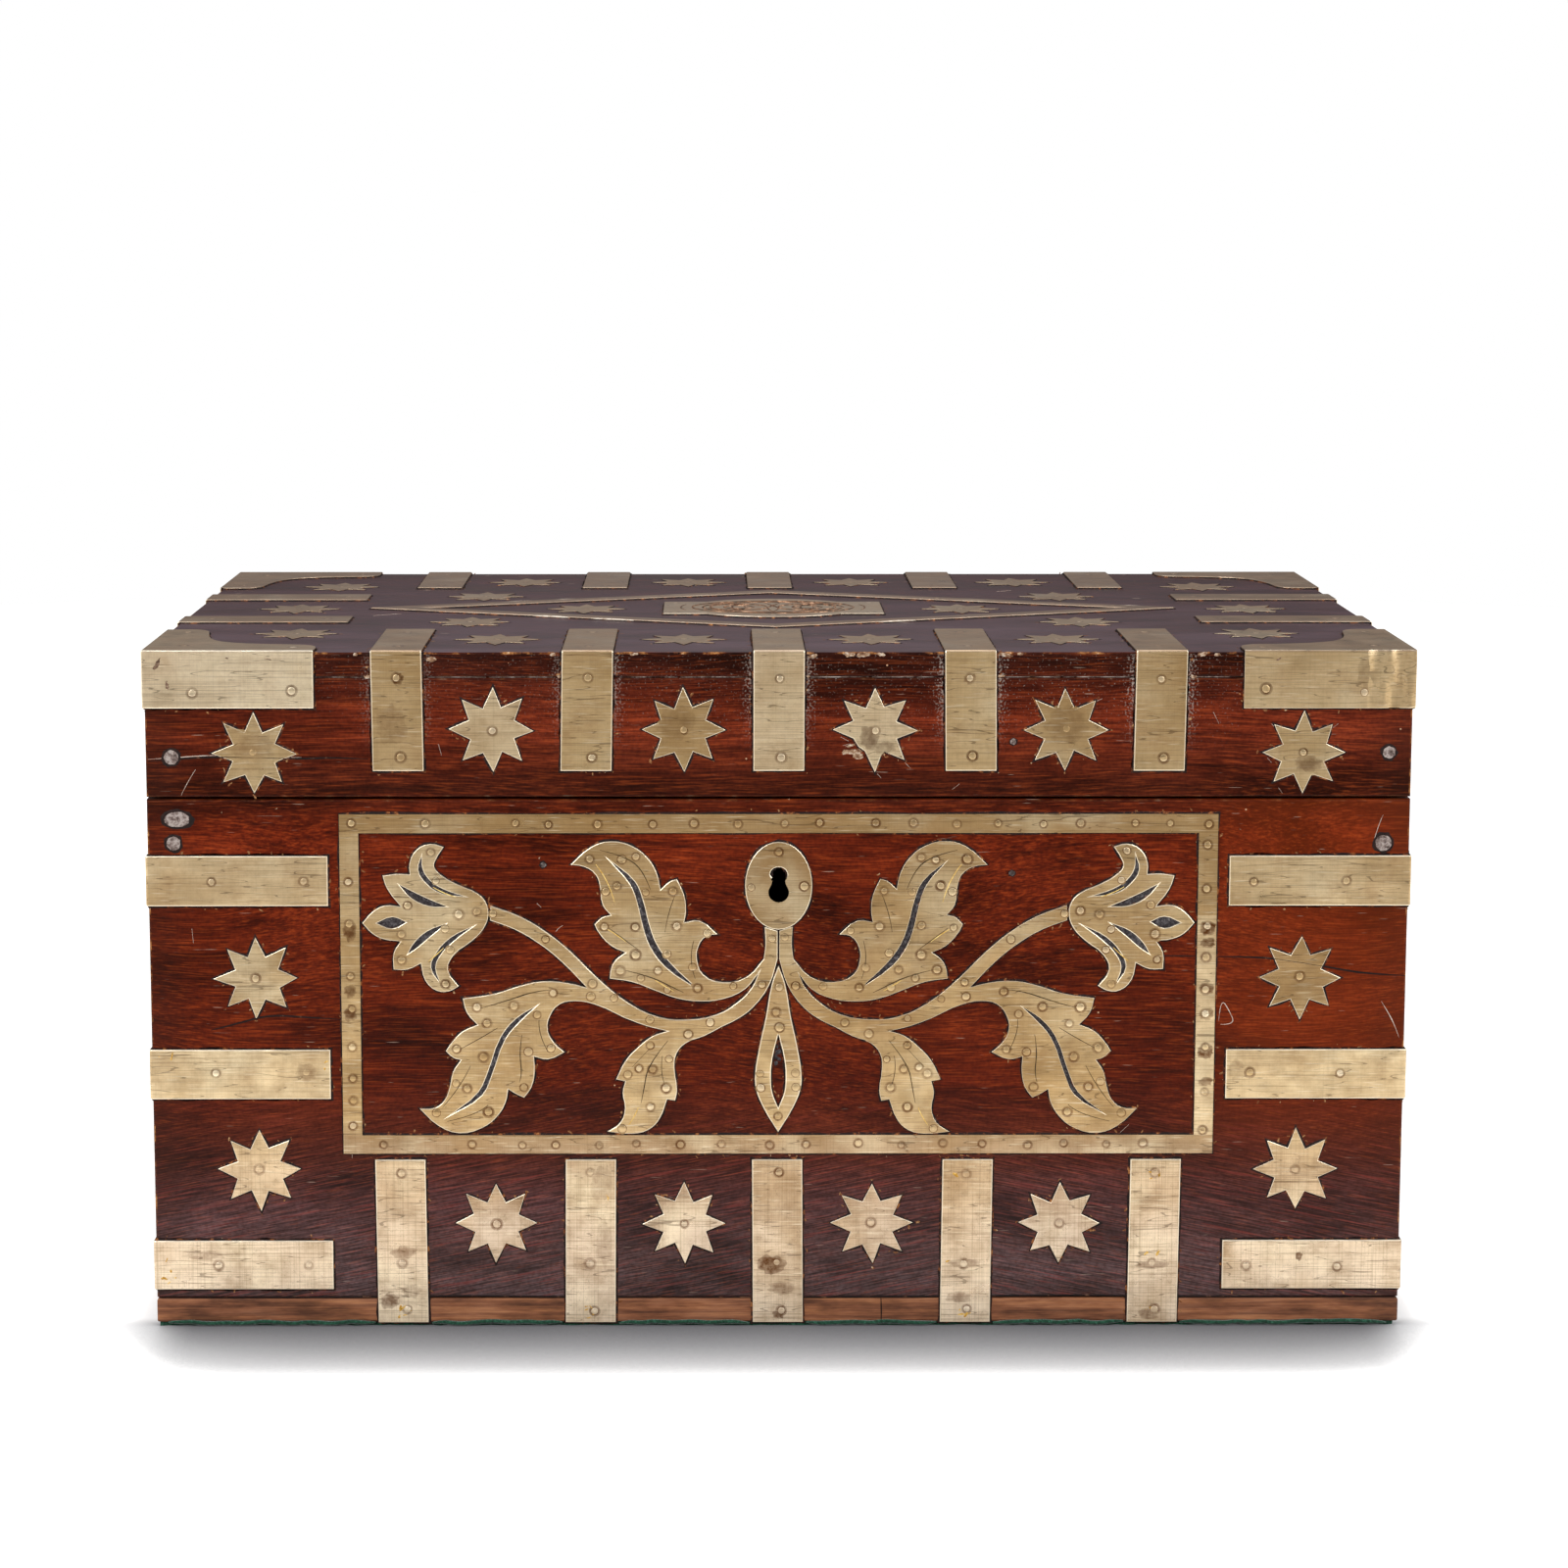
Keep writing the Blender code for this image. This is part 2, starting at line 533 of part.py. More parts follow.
def bracket_cutter(form):
    """Waste inside a bracket's top plate: round arm ends and a hyperbola through the throat."""
    waist = BRACKET_END_WIDTH
    far = BRACKET_ARM - BRACKET_END_RADIUS
    # (a - lean)(b - lean) is constant along the inner edge
    lean = (BRACKET_THROAT ** 2 - far * waist) / (2 * BRACKET_THROAT - far - waist)
    constant = (BRACKET_THROAT - lean) ** 2
    beyond = BRACKET_ARM + BRACKET_END_WIDTH
    tip = arc(BRACKET_END_RADIUS, 0, 90, 4, (far, waist - BRACKET_END_RADIUS))
    steps = 8
    ratio = (waist - lean) / (far - lean)
    sweep = []
    for i in range(1, steps):
        a = lean + (far - lean) * ratio ** (i / steps)
        sweep.append((a, lean + constant / (a - lean)))
    mirrored_tip = [(b, a) for a, b in reversed(tip)]
    corner = [(tip[0][1], beyond), (beyond, beyond), (beyond, tip[0][1])]
    add_prism(form, tip + sweep + mirrored_tip + corner, -BRACKET_DROP, BRACKET_DROP, Matrix.Identity(4))


def corner_bracket_mesh(brass):
    """Folded corner cap about a wooden corner at the origin, with arms along +X and +Y."""
    outer = SEAT_GAP + BRASS
    cap = block("cap", (-outer, -outer, -BRACKET_DROP), (BRACKET_ARM, BRACKET_ARM, outer),
                brass, empty("cap_corner", (0, 0, 0)))
    beyond = 2 * BRACKET_ARM
    hollow = ((-SEAT_GAP, -SEAT_GAP, -beyond), (beyond, beyond, SEAT_GAP))
    shape(cap, "DIFFERENCE", add_block, *hollow)
    shape(cap, "DIFFERENCE", bracket_cutter)
    mesh = cap.data
    mesh.transform(Matrix.Translation(cap.location))
    bpy.data.objects.remove(cap.parent)
    bpy.data.objects.remove(cap)
    mesh.materials.clear()
    return mesh


def build_lid_brass(brass, parent):
    """Straps over the lid's edges, corner brackets, lozenge and medallion."""
    for i, x in enumerate(STRAP_X):
        front_edge = (x, FRONT_Y, TOP_Z)
        rear_edge = (x, BACK_Y, TOP_Z)
        half_turn = Matrix.Rotation(math.pi, 4, "Z")
        angle_strap(f"lid_front_strap_{i + 1}", FRONT_STRAP_LEG, STRAP_DROP, front_edge,
                    Matrix.Identity(4), brass, parent)
        angle_strap(f"lid_rear_strap_{i + 1}", REAR_STRAP_LEG, STRAP_DROP, rear_edge, half_turn, brass, parent)
    for side, side_name in ((-1, "left"), (1, "right")):
        for front, place in ((-1, "front"), (1, "rear")):
            edge = (side * SIDE_X, front * END_STRAP_OFFSET, TOP_Z)
            quarter_turn = Matrix.Rotation(side * math.pi / 2, 4, "Z")
            angle_strap(f"lid_{side_name}_end_strap_{place}", END_STRAP_LEG, STRAP_DROP, edge, quarter_turn,
                        brass, parent)

    corner_mesh = corner_bracket_mesh(brass)
    corners = (("front_left", -1, -1, 0), ("front_right", 1, -1, 1), ("rear_right", 1, 1, 2),
               ("rear_left", -1, 1, 3))
    for place, side, front, quarters in corners:
        turn = Matrix.Rotation(quarters * math.pi / 2, 4, "Z")
        add_object(f"lid_bracket_{place}", corner_mesh.copy(), brass, parent,
                   (side * SIDE_X, front * BACK_Y, TOP_Z), turn)

    tip_x = SIDE_X - END_STRAP_LEG - LOZENGE_TIP_GAP
    tip_y = BACK_Y - max(FRONT_STRAP_LEG, REAR_STRAP_LEG) - LOZENGE_STRAP_GAP
    slant = math.hypot(tip_x, tip_y)
    lozenge = sheet_curve("lozenge_frame")
    for inset in (0, LOZENGE_STRIP * slant):
        reach_x = tip_x - inset / tip_y
        reach_y = tip_y - inset / tip_x
        add_straight_edge(lozenge, [(-reach_x, 0), (0, -reach_y), (reach_x, 0), (0, reach_y)])
    top_sheet("lozenge_frame", lozenge, brass, parent)

    half_length = MEDALLION_LENGTH / 2
    half_width = MEDALLION_WIDTH / 2
    start = math.degrees(math.asin(MEDALLION_WIDTH / MEDALLION_OVAL_WIDTH))
    sweep = arc(1, start, 180 - start, 12)
    oval = [(MEDALLION_OVAL_LENGTH / 2 * c, MEDALLION_OVAL_WIDTH / 2 * s) for c, s in sweep]
    right_end = [(half_length, -half_width), (half_length, half_width)]
    left_end = [(-half_length, half_width), (-half_length, -half_width)]
    medallion = sheet_curve("lid_medallion")
    add_straight_edge(medallion, right_end + oval + left_end + [(-x, -y) for x, y in oval])
    top_sheet("lid_medallion", medallion, brass, parent)


def build_body_brass(brass, parent):
    """Corner straps, foot straps, panel frame, escutcheon, pendant and the foliage."""
    left_turn = Matrix(((0, 1, 0, 0), (0, 0, -1, 0), (-1, 0, 0, 0), (0, 0, 0, 1)))
    right_turn = Matrix(((0, -1, 0, 0), (0, 0, -1, 0), (1, 0, 0, 0), (0, 0, 0, 1)))
    for z, height in zip(corner_strap_levels(), ("low", "middle", "high")):
        for side, side_name, turn in ((-1, "left", left_turn), (1, "right", right_turn)):
            angle_strap(f"{side_name}_corner_strap_{height}", CORNER_STRAP_LEG, CORNER_STRAP_LEG,
                        (side * SIDE_X, FRONT_Y, z), turn, brass, parent)
    back_y = FRONT_Y - SEAT_GAP
    for i, x in enumerate(STRAP_X):
        block(f"foot_strap_{i + 1}", (x - STRAP_WIDTH / 2, back_y - BRASS, BASE_Z),
              (x + STRAP_WIDTH / 2, back_y, BASE_Z + FOOT_STRAP_HEIGHT), brass, parent)

    frame = sheet_curve("panel_frame")
    add_straight_edge(frame, rectangle(PANEL_HALF, PANEL_FOOT, PANEL_TOP))
    inner_half = PANEL_HALF - PANEL_STRIP
    add_straight_edge(frame, rectangle(inner_half, PANEL_FOOT + PANEL_STRIP, PANEL_TOP - PANEL_STRIP))
    front_sheet("panel_frame", frame, brass, parent)

    escutcheon = sheet_curve("escutcheon")
    oval = arc(1, 0, 350, 35)
    add_straight_edge(escutcheon, [on_panel(ESCUTCHEON_WIDTH / 2 * c, ESCUTCHEON_HEIGHT / 2 * s) for c, s in oval])
    add_straight_edge(escutcheon, keyhole_outline())
    front_sheet("escutcheon", escutcheon, brass, parent)

    spray = (SPRAY_EDGE, SPRAY_SLOTS, neck_rows())
    tulip = (TULIP_EDGE, TULIP_SLOTS, [])
    pieces = [("left_spray", -1, spray), ("right_spray", 1, spray), ("left_tulip", -1, tulip),
              ("right_tulip", 1, tulip), ("pendant", 1, (PENDANT_EDGE, PENDANT_SLOTS, []))]
    for name, hand, (edge, slots, neck) in pieces:
        curve = sheet_curve(name)
        for i, drawn in enumerate([edge] + slots):
            rows = [[(u * MM, v * MM) for u, v in row] for row in drawn]
            add_smooth_edge(curve, rows if i else neck + rows, hand)
        front_sheet(name, curve, brass, parent)


def hinge_leaf(name, owner, x, low_z, own_first, brass, parent):
    """Leaf with every second knuckle of a hinge, cleared for the other leaf's knuckles and bored."""
    leaf_width = WALL - HINGE_SETBACK - LEAF_MARGIN
    start = x - HINGE_LENGTH / 2
    leaf = block(f"{name}_{owner}_leaf", (start, AXIS_Y - leaf_width, low_z),
                 (start + HINGE_LENGTH, AXIS_Y, low_z + LEAF_THICKNESS), brass, parent)
    pitch = HINGE_LENGTH / KNUCKLES
    for i in range(KNUCKLES):
        knuckle_start = start + i * pitch
        if (i % 2 == 0) == own_first:
            first = knuckle_start + (SEAT_GAP / 2 if i else 0)
            last = knuckle_start + pitch - (SEAT_GAP / 2 if i < KNUCKLES - 1 else 0)
            shape(leaf, "UNION", add_rod, KNUCKLE_RADIUS, first, last, AXIS_Y, AXIS_Z)
        else:
            first = knuckle_start - (SEAT_GAP / 2 if i else pitch)
            last = knuckle_start + pitch + (SEAT_GAP / 2 if i < KNUCKLES - 1 else pitch)
            shape(leaf, "DIFFERENCE", add_rod, KNUCKLE_RADIUS + SEAT_GAP, first, last, AXIS_Y, AXIS_Z)
    bore = HINGE_PIN_RADIUS + SEAT_GAP
    shape(leaf, "DIFFERENCE", add_rod, bore, start - pitch, start + HINGE_LENGTH + pitch, AXIS_Y, AXIS_Z)
    round_off(leaf.data)
    return leaf_width


def build_hinges(brass, steel, box, lid, back_wall, back_rail):
    """Two butt hinges let into the back wall and the lid's back rail, and the chamfers they open to."""
    run = HINGE_SETBACK
    fall = run * math.tan(math.radians(LID_OPEN_DEG / 2))
    beyond = WALL
    wall_wedge = [(AXIS_Y, SEAM_Z), (AXIS_Y + 2 * run, SEAM_Z - 2 * fall), (AXIS_Y + 2 * run, SEAM_Z + beyond),
                  (AXIS_Y, SEAM_Z + beyond)]
    rail_wedge = [(AXIS_Y, RAIL_Z), (AXIS_Y, RAIL_Z - beyond), (AXIS_Y + 2 * run, RAIL_Z - beyond),
                  (AXIS_Y + 2 * run, RAIL_Z + 2 * fall)]
    for wood, wedge in ((back_wall, wall_wedge), (back_rail, rail_wedge)):
        shape(wood, "DIFFERENCE", add_prism, wedge, -BOX_WIDTH, BOX_WIDTH, ALONG_X)

    for side, name in ((-1, "left_hinge"), (1, "right_hinge")):
        x = side * HINGE_SPACING / 2
        leaf_width = hinge_leaf(name, "body", x, SEAM_Z - LEAF_THICKNESS, True, brass, box)
        hinge_leaf(name, "lid", x, RAIL_Z, False, brass, lid)
        form = bmesh.new()
        add_rod(form, HINGE_PIN_RADIUS, -HINGE_LENGTH / 2, HINGE_LENGTH / 2, 0, 0, 12)
        pin = add_object(f"{name}_pin", make_mesh(f"{name}_pin", form), steel, box, (x, AXIS_Y, AXIS_Z))
        round_off(pin.data)
        start = x - HINGE_LENGTH / 2 - SEAT_GAP
        end = x + HINGE_LENGTH / 2 + SEAT_GAP
        seat_y = AXIS_Y - leaf_width - SEAT_GAP
        depth = LEAF_THICKNESS + SEAT_GAP
        mortises = ((back_wall, SEAM_Z - depth, SEAM_Z + beyond), (back_rail, RAIL_Z - beyond, RAIL_Z + depth))
        for wood, low_z, high_z in mortises:
            shape(wood, "DIFFERENCE", add_block, (start, seat_y, low_z), (end, AXIS_Y + run / 4, high_z))
            shape(wood, "DIFFERENCE", add_rod, KNUCKLE_RADIUS + SEAT_GAP, start, end, AXIS_Y, AXIS_Z, 24)


def build_lock(brass, steel, box, lid, slide, front_wall, front_rail):
    """Box lock let into the front wall, its bolt and spring, and the link plate on the lid's rail."""
    half = LOCK_WIDTH / 2
    floor_y = INNER_FRONT_Y - LOCK_DEPTH
    foot_z = SEAM_Z - LOCK_HEIGHT
    beyond = WALL
    pocket = ((-half - SEAT_GAP, floor_y - SEAT_GAP, foot_z - SEAT_GAP),
              (half + SEAT_GAP, INNER_FRONT_Y + beyond, SEAM_Z + beyond))
    shape(front_wall, "DIFFERENCE", add_block, *pocket)
    shape(front_wall, "DIFFERENCE", add_prism, keyhole_outline(), -beyond * 2, beyond, ON_FRONT)

    room_x = half - LOCK_PLATE
    room_low = foot_z + LOCK_PLATE
    room_high = SEAM_Z - SELVEDGE
    loop_width = LOCK_CAP_Y - LOCK_ROOM_Y - 2 * LOOP_CLEARANCE
    case = block("lock_case", (-half, floor_y, foot_z), (half, INNER_FRONT_Y, SEAM_Z), brass, box)
    shape(case, "DIFFERENCE", add_block, (-room_x, LOCK_ROOM_Y, room_low), (room_x, INNER_FRONT_Y + beyond, room_high))
    shape(case, "DIFFERENCE", add_prism, keyhole_outline(), -2 * beyond, beyond, ON_FRONT)
    for side in (-1, 1):
        x = side * LOOP_SPACING / 2
        slot_x = LOOP_THICKNESS / 2 + SLOT_CLEARANCE
        slot_y = loop_width / 2 + SLOT_CLEARANCE
        shape(case, "DIFFERENCE", add_block, (x - slot_x, BOLT_Y - slot_y, room_high - SELVEDGE),
              (x + slot_x, BOLT_Y + slot_y, SEAM_Z + beyond))
    block("lock_cap", (-room_x + SEAT_GAP, LOCK_CAP_Y, room_low + SEAT_GAP),
          (room_x - SEAT_GAP, INNER_FRONT_Y, room_high - SEAT_GAP), brass, box)

    plate_x = LINK_PLATE_LENGTH / 2
    plate_y = LINK_PLATE_WIDTH / 2
    link = block("link_plate", (-plate_x, BOLT_Y - plate_y, RAIL_Z),
                 (plate_x, BOLT_Y + plate_y, RAIL_Z + LINK_PLATE_THICKNESS), brass, lid)
    seat_x = plate_x + SEAT_GAP
    seat_y = plate_y + SEAT_GAP
    shape(front_rail, "DIFFERENCE", add_block, (-seat_x, BOLT_Y - seat_y, RAIL_Z - beyond),
          (seat_x, BOLT_Y + seat_y, RAIL_Z + LINK_PLATE_THICKNESS + SEAT_GAP))
    eye_low = LOOP_FOOT_Z + LOOP_SILL
    eye_high = eye_low + LOOP_EYE_HEIGHT
    eye_half = loop_width / 2 - LOOP_LEG
    for side in (-1, 1):
        x = side * LOOP_SPACING / 2
        low_x = x - LOOP_THICKNESS / 2
        high_x = x + LOOP_THICKNESS / 2
        shape(link, "UNION", add_block, (low_x, BOLT_Y - loop_width / 2, LOOP_FOOT_Z),
              (high_x, BOLT_Y + loop_width / 2, RAIL_Z + LINK_PLATE_THICKNESS / 2))
        shape(link, "DIFFERENCE", add_block, (low_x - beyond / 4, BOLT_Y - eye_half, eye_low),
              (high_x + beyond / 4, BOLT_Y + eye_half, eye_high))

    finger = BOLT_TRAVEL + BOLT_PLAY
    finger_low = eye_low + BOLT_PLAY
    finger_high = eye_high - BOLT_PLAY
    bar_low = BOLT_TOP_Z - BOLT_BAR_HEIGHT
    thickness = 2 * (eye_half - BOLT_PLAY)
    tips = [side * LOOP_SPACING / 2 - LOOP_THICKNESS / 2 - BOLT_REST_GAP for side in (-1, 1)]
    left_end = tips[0] - finger - BOLT_POST
    right_end = tips[1] - finger + BOLT_TAIL
    for guide_x in (left_end + BOLT_TRAVEL, right_end - BOLT_GUIDE):
        shape(case, "UNION", add_block, (guide_x, floor_y + LOCK_PLATE / 2, bar_low + BOLT_PLAY),
              (guide_x + BOLT_GUIDE, BOLT_Y - thickness / 2 - SEAT_GAP, BOLT_TOP_Z - BOLT_PLAY))
    talon = -BOLT_TRAVEL / 2
    talon_z = bar_low + TALON_HEIGHT
    outline = [(left_end, bar_low), (talon - TALON_WIDTH / 2, bar_low), (talon - TALON_WIDTH / 4, talon_z),
               (talon + TALON_WIDTH / 4, talon_z), (talon + TALON_WIDTH / 2, bar_low),
               (right_end, bar_low), (right_end, BOLT_TOP_Z)]
    for tip in reversed(tips):
        root = tip - finger
        outline += [(root, BOLT_TOP_Z), (root, finger_low), (tip, finger_low), (tip, finger_high),
                    (root - BOLT_POST, finger_high), (root - BOLT_POST, BOLT_TOP_Z)]
    outline.pop()
    upright = Matrix.Rotation(math.pi / 2, 4, "X")
    form = bmesh.new()
    add_prism(form, [(u, v - BOLT_Z) for u, v in outline], -thickness / 2, thickness / 2, upright)
    add_object("lock_bolt", make_mesh("lock_bolt", form), steel, slide, (0, BOLT_Y, BOLT_Z))

    chord = SPRING_LENGTH / 2
    radius = (chord ** 2 + SPRING_BOW ** 2) / (2 * SPRING_BOW)
    spread = math.degrees(math.asin(chord / radius))
    bow_centre = (left_end + chord, bar_low - SEAT_GAP - SPRING_BOW + radius - BOLT_Z)
    outer = arc(radius + SPRING_THICKNESS, 270 - spread, 270 + spread, 10, bow_centre)
    inner = arc(radius, 270 + spread, 270 - spread, 10, bow_centre)
    form = bmesh.new()
    add_prism(form, outer + inner, -thickness / 2, thickness / 2, upright)
    add_object("bolt_spring", make_mesh("bolt_spring", form), steel, slide, (0, BOLT_Y, BOLT_Z))


def main():
    """Build every piece of the box."""
    clear_scene()
    wood = finish("polished_rosewood", "5a1c0e", 0.35, 0.0)
    base_wood = finish("plain_base_wood", "5a3420", 0.6, 0.0)
    cloth = finish("green_baize", "1e4a35", 0.95, 0.0)
    brass = finish("worn_brass", "b8a878", 0.38, 1.0)
    steel = finish("blackened_steel", "4a4744", 0.45, 1.0)

    box = empty("box_origin", (0, 0, 0))
    lid = empty("lid_hinge_axis", (0, AXIS_Y, AXIS_Z))
    slide = empty("lock_bolt_slide", (0, BOLT_Y, BOLT_Z))
    front_wall, back_wall = build_body(wood, base_wood, cloth, box)
    front_rail, back_rail = build_lid(wood, lid)
    build_hinges(brass, steel, box, lid, back_wall, back_rail)
    build_lock(brass, steel, box, lid, slide, front_wall, front_rail)
    build_lid_brass(brass, lid)
    build_body_brass(brass, box)


main()
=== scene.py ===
# %% [markdown]
# # A brass-bound document box
#
# A small hinged box of dark red-brown rosewood, bound and inlaid with sheet brass: straps over the lid's
# edges, folded corner brackets, a lozenge of strips, eight-pointed stars, and pierced leaves round the
# keyhole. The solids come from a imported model, which is loaded here as a fixed frame. This script dresses
# that frame: each brass sheet is seated on the wood and its edges are softened, and pins, engraving,
# grime, wear and finishes are added.
#
# The frame's own box is measured first, before anything is added to it.

import math
import random

import bmesh
import bpy
from mathutils import Matrix, Vector
from mathutils.bvhtree import BVHTree


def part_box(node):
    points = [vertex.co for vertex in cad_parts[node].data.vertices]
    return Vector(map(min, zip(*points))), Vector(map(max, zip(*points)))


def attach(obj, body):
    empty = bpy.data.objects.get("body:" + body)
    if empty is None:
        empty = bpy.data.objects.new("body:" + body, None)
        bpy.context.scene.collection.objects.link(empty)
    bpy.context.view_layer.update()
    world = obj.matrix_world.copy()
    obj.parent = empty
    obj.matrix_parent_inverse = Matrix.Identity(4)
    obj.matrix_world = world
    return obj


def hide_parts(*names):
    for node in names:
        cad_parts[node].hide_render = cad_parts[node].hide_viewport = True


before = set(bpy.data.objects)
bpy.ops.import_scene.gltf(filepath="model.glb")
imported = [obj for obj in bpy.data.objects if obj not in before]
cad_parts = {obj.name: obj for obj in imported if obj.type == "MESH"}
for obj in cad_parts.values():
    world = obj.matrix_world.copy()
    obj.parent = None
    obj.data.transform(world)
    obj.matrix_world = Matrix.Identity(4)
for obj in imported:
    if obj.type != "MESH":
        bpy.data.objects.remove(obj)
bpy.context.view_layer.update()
print("nodes in the frame:", len(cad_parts))

# %% [markdown]
# ## One flat drawing board for each side
#
# Most of the ornament is flat work on a flat side. Each side gets a matrix that turns a drawing (along,
# up, out of the wood) into the box's frame, so a star or a pin is placed the same way on every side. The
# wood's own sizes are read from the frame, so they follow it.

# %% Sides of the wood
MM = 0.001
STAR_RELIEF = 0.6 * MM
HALF_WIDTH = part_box("right_wall")[1].x
HALF_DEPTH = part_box("back_wall")[1].y
WOOD_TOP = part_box("lid_top_board")[1].z - STAR_RELIEF
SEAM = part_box("left_wall")[1].z
KEYHOLE = SEAM - 30.2 * MM

SIDES = {
    "front": Matrix(((1, 0, 0, 0), (0, 0, -1, -HALF_DEPTH), (0, 1, 0, 0), (0, 0, 0, 1))),
    "back": Matrix(((-1, 0, 0, 0), (0, 0, 1, HALF_DEPTH), (0, 1, 0, 0), (0, 0, 0, 1))),
    "left": Matrix(((0, 0, -1, -HALF_WIDTH), (-1, 0, 0, 0), (0, 1, 0, 0), (0, 0, 0, 1))),
    "right": Matrix(((0, 0, 1, HALF_WIDTH), (1, 0, 0, 0), (0, 1, 0, 0), (0, 0, 0, 1))),
    "top": Matrix.Translation((0, 0, WOOD_TOP)),
}


def height_over_wood(co):
    """How far a point stands out of the wooden box."""
    return max(abs(co.x) - HALF_WIDTH, abs(co.y) - HALF_DEPTH, co.z - WOOD_TOP)


def outward_axis(co):
    """Direction straight out of the wood at a point on or over it."""
    over = (abs(co.x) - HALF_WIDTH, abs(co.y) - HALF_DEPTH, co.z - WOOD_TOP)
    axis = over.index(max(over))
    out = Vector((0, 0, 0))
    out[axis] = math.copysign(1, co[axis])
    return out


print(f"wood: {2 * HALF_WIDTH / MM:.1f} x {2 * HALF_DEPTH / MM:.1f} mm, top at {WOOD_TOP / MM:.1f} mm")

# %% [markdown]
# ## Camera
#
# The photograph looks straight at the front from a little above, with the uprights nearly parallel. That
# comes from a long lens with some downward shift, so the camera tilts only a little. The place and lens
# were fitted to the box's corners.

# %% Photo camera
lens = bpy.data.cameras.new("long lens")
lens.lens = 79.8
lens.sensor_width = 36
lens.shift_x = 0.039
lens.shift_y = -0.08
camera = bpy.data.objects.new("photo_camera", lens)
camera.location = (-0.0229, -1.313, 0.3942)
camera.rotation_euler = (math.radians(90 - 7.51), 0, math.radians(-0.17))
bpy.context.scene.collection.objects.link(camera)
bpy.context.scene.camera = camera
print("camera at", tuple(camera.location))

# %% [markdown]
# ## Nodes
#
# Every finish below is a small tree of nodes. One function adds a node: its settings, the values of its
# sockets, the sockets linked into it, and the stops of a colour ramp. Settings that recur have a name.
# Colours are written as sRGB hex, as a painter would pick them, and one function turns them to the linear
# values that sockets take.

# %% Node helpers
MIX_A, MIX_B = 6, 7
TIMES = {"operation": "MULTIPLY"}
COLOURS = {"data_type": "RGBA"}
DARKEN = {"data_type": "RGBA", "blend_type": "MULTIPLY"}
SOFT_STEP = {"interpolation_type": "SMOOTHSTEP"}


def linear(colour):
    """Linear RGBA of an sRGB hex colour."""
    parts = [int(colour[i:i + 2], 16) / 255 for i in (1, 3, 5)]
    return [c / 12.92 if c <= 0.04045 else ((c + 0.055) / 1.055) ** 2.4 for c in parts] + [1.0]


def add_node(tree, kind, settings=None, values=None, links=None, stops=None):
    """One node with its settings, socket values, incoming links and colour stops.

    A link names a socket, or a node whose output in use is meant.
    """
    node = tree.nodes.new("ShaderNode" + kind)
    for name, value in (settings or {}).items():
        setattr(node, name, value)
    for name, value in (values or {}).items():
        node.inputs[name].default_value = linear(value) if isinstance(value, str) else value
    for name, source in (links or {}).items():
        if hasattr(source, "outputs"):
            source = next(socket for socket in source.outputs if socket.enabled)
        tree.links.new(source, node.inputs[name])
    if stops:
        ramp = node.color_ramp.elements
        while len(ramp) < len(stops):
            ramp.new(1.0)
        for stop, (place, colour) in zip(ramp, stops):
            stop.position = place
            stop.color = linear(colour)
    return node


def start_finish(name):
    """An empty node material and its tree."""
    material = bpy.data.materials.new(name)
    material.use_nodes = True
    material.node_tree.nodes.clear()
    return material, material.node_tree


# %% [markdown]
# ## Light and background
#
# The photograph has soft studio light from the front and above, and a white surround. Soft boxes and a
# pale sky light the box at a plain level, so that a colour renders about as it is written. The camera
# sees the sky as white. Shiny surfaces see a studio: a pale, warm band at the level of the table, grey
# above it, white overhead, and bright panels to the sides. That is why the low brass is bright and the
# lid's top is dull.

# %% Sky and soft boxes
scene = bpy.context.scene
scene.view_settings.view_transform = "Standard"
sky = bpy.data.worlds.new("white studio")
scene.world = sky
sky.use_nodes = True
tree = sky.node_tree
tree.nodes.clear()
path = add_node(tree, "LightPath")
heading = add_node(tree, "TexCoord")
split = add_node(tree, "SeparateXYZ", links={0: heading.outputs["Generated"]})
rise = add_node(tree, "MapRange", values={"From Min": -1.0, "From Max": 1.0},
                links={"Value": split.outputs["Z"]})
studio = add_node(tree, "ValToRGB", links={0: rise},
                  stops=[(0.0, "#f2f2f2"), (0.3, "#c5c2c9"), (0.4, "#d4c6b0"), (0.5, "#bda98c"),
                         (0.56, "#76767b"), (0.7, "#7c7c82"), (0.85, "#c8c8c8"), (1.0, "#ffffff")])
aside = add_node(tree, "Math", {"operation": "ABSOLUTE"}, links={0: split.outputs["X"]})
panels = add_node(tree, "ValToRGB", links={0: aside},
                  stops=[(0.06, "#d4d4d4"), (0.22, "#8c8c8c"), (0.34, "#8c8c8c"), (0.46, "#ffffff"),
                         (0.75, "#ffffff"), (0.9, "#a0a0a0")])
studio = add_node(tree, "Mix", DARKEN, {0: 1.0}, {MIX_A: studio, MIX_B: panels})
shine = add_node(tree, "Background", values={"Strength": 1.5}, links={"Color": studio})
soft = add_node(tree, "Background", values={"Color": "#ffffff", "Strength": 0.55})
white = add_node(tree, "Background", values={"Color": "#ffffff", "Strength": 1.0})
shiny = add_node(tree, "Math", {"operation": "MAXIMUM"},
                 links={0: path.outputs["Is Glossy Ray"], 1: path.outputs["Is Transmission Ray"]})
lit = add_node(tree, "MixShader", links={0: shiny, 1: soft, 2: shine})
seen = add_node(tree, "MixShader", links={0: path.outputs["Is Camera Ray"], 1: lit, 2: white})
add_node(tree, "OutputWorld", links={"Surface": seen})


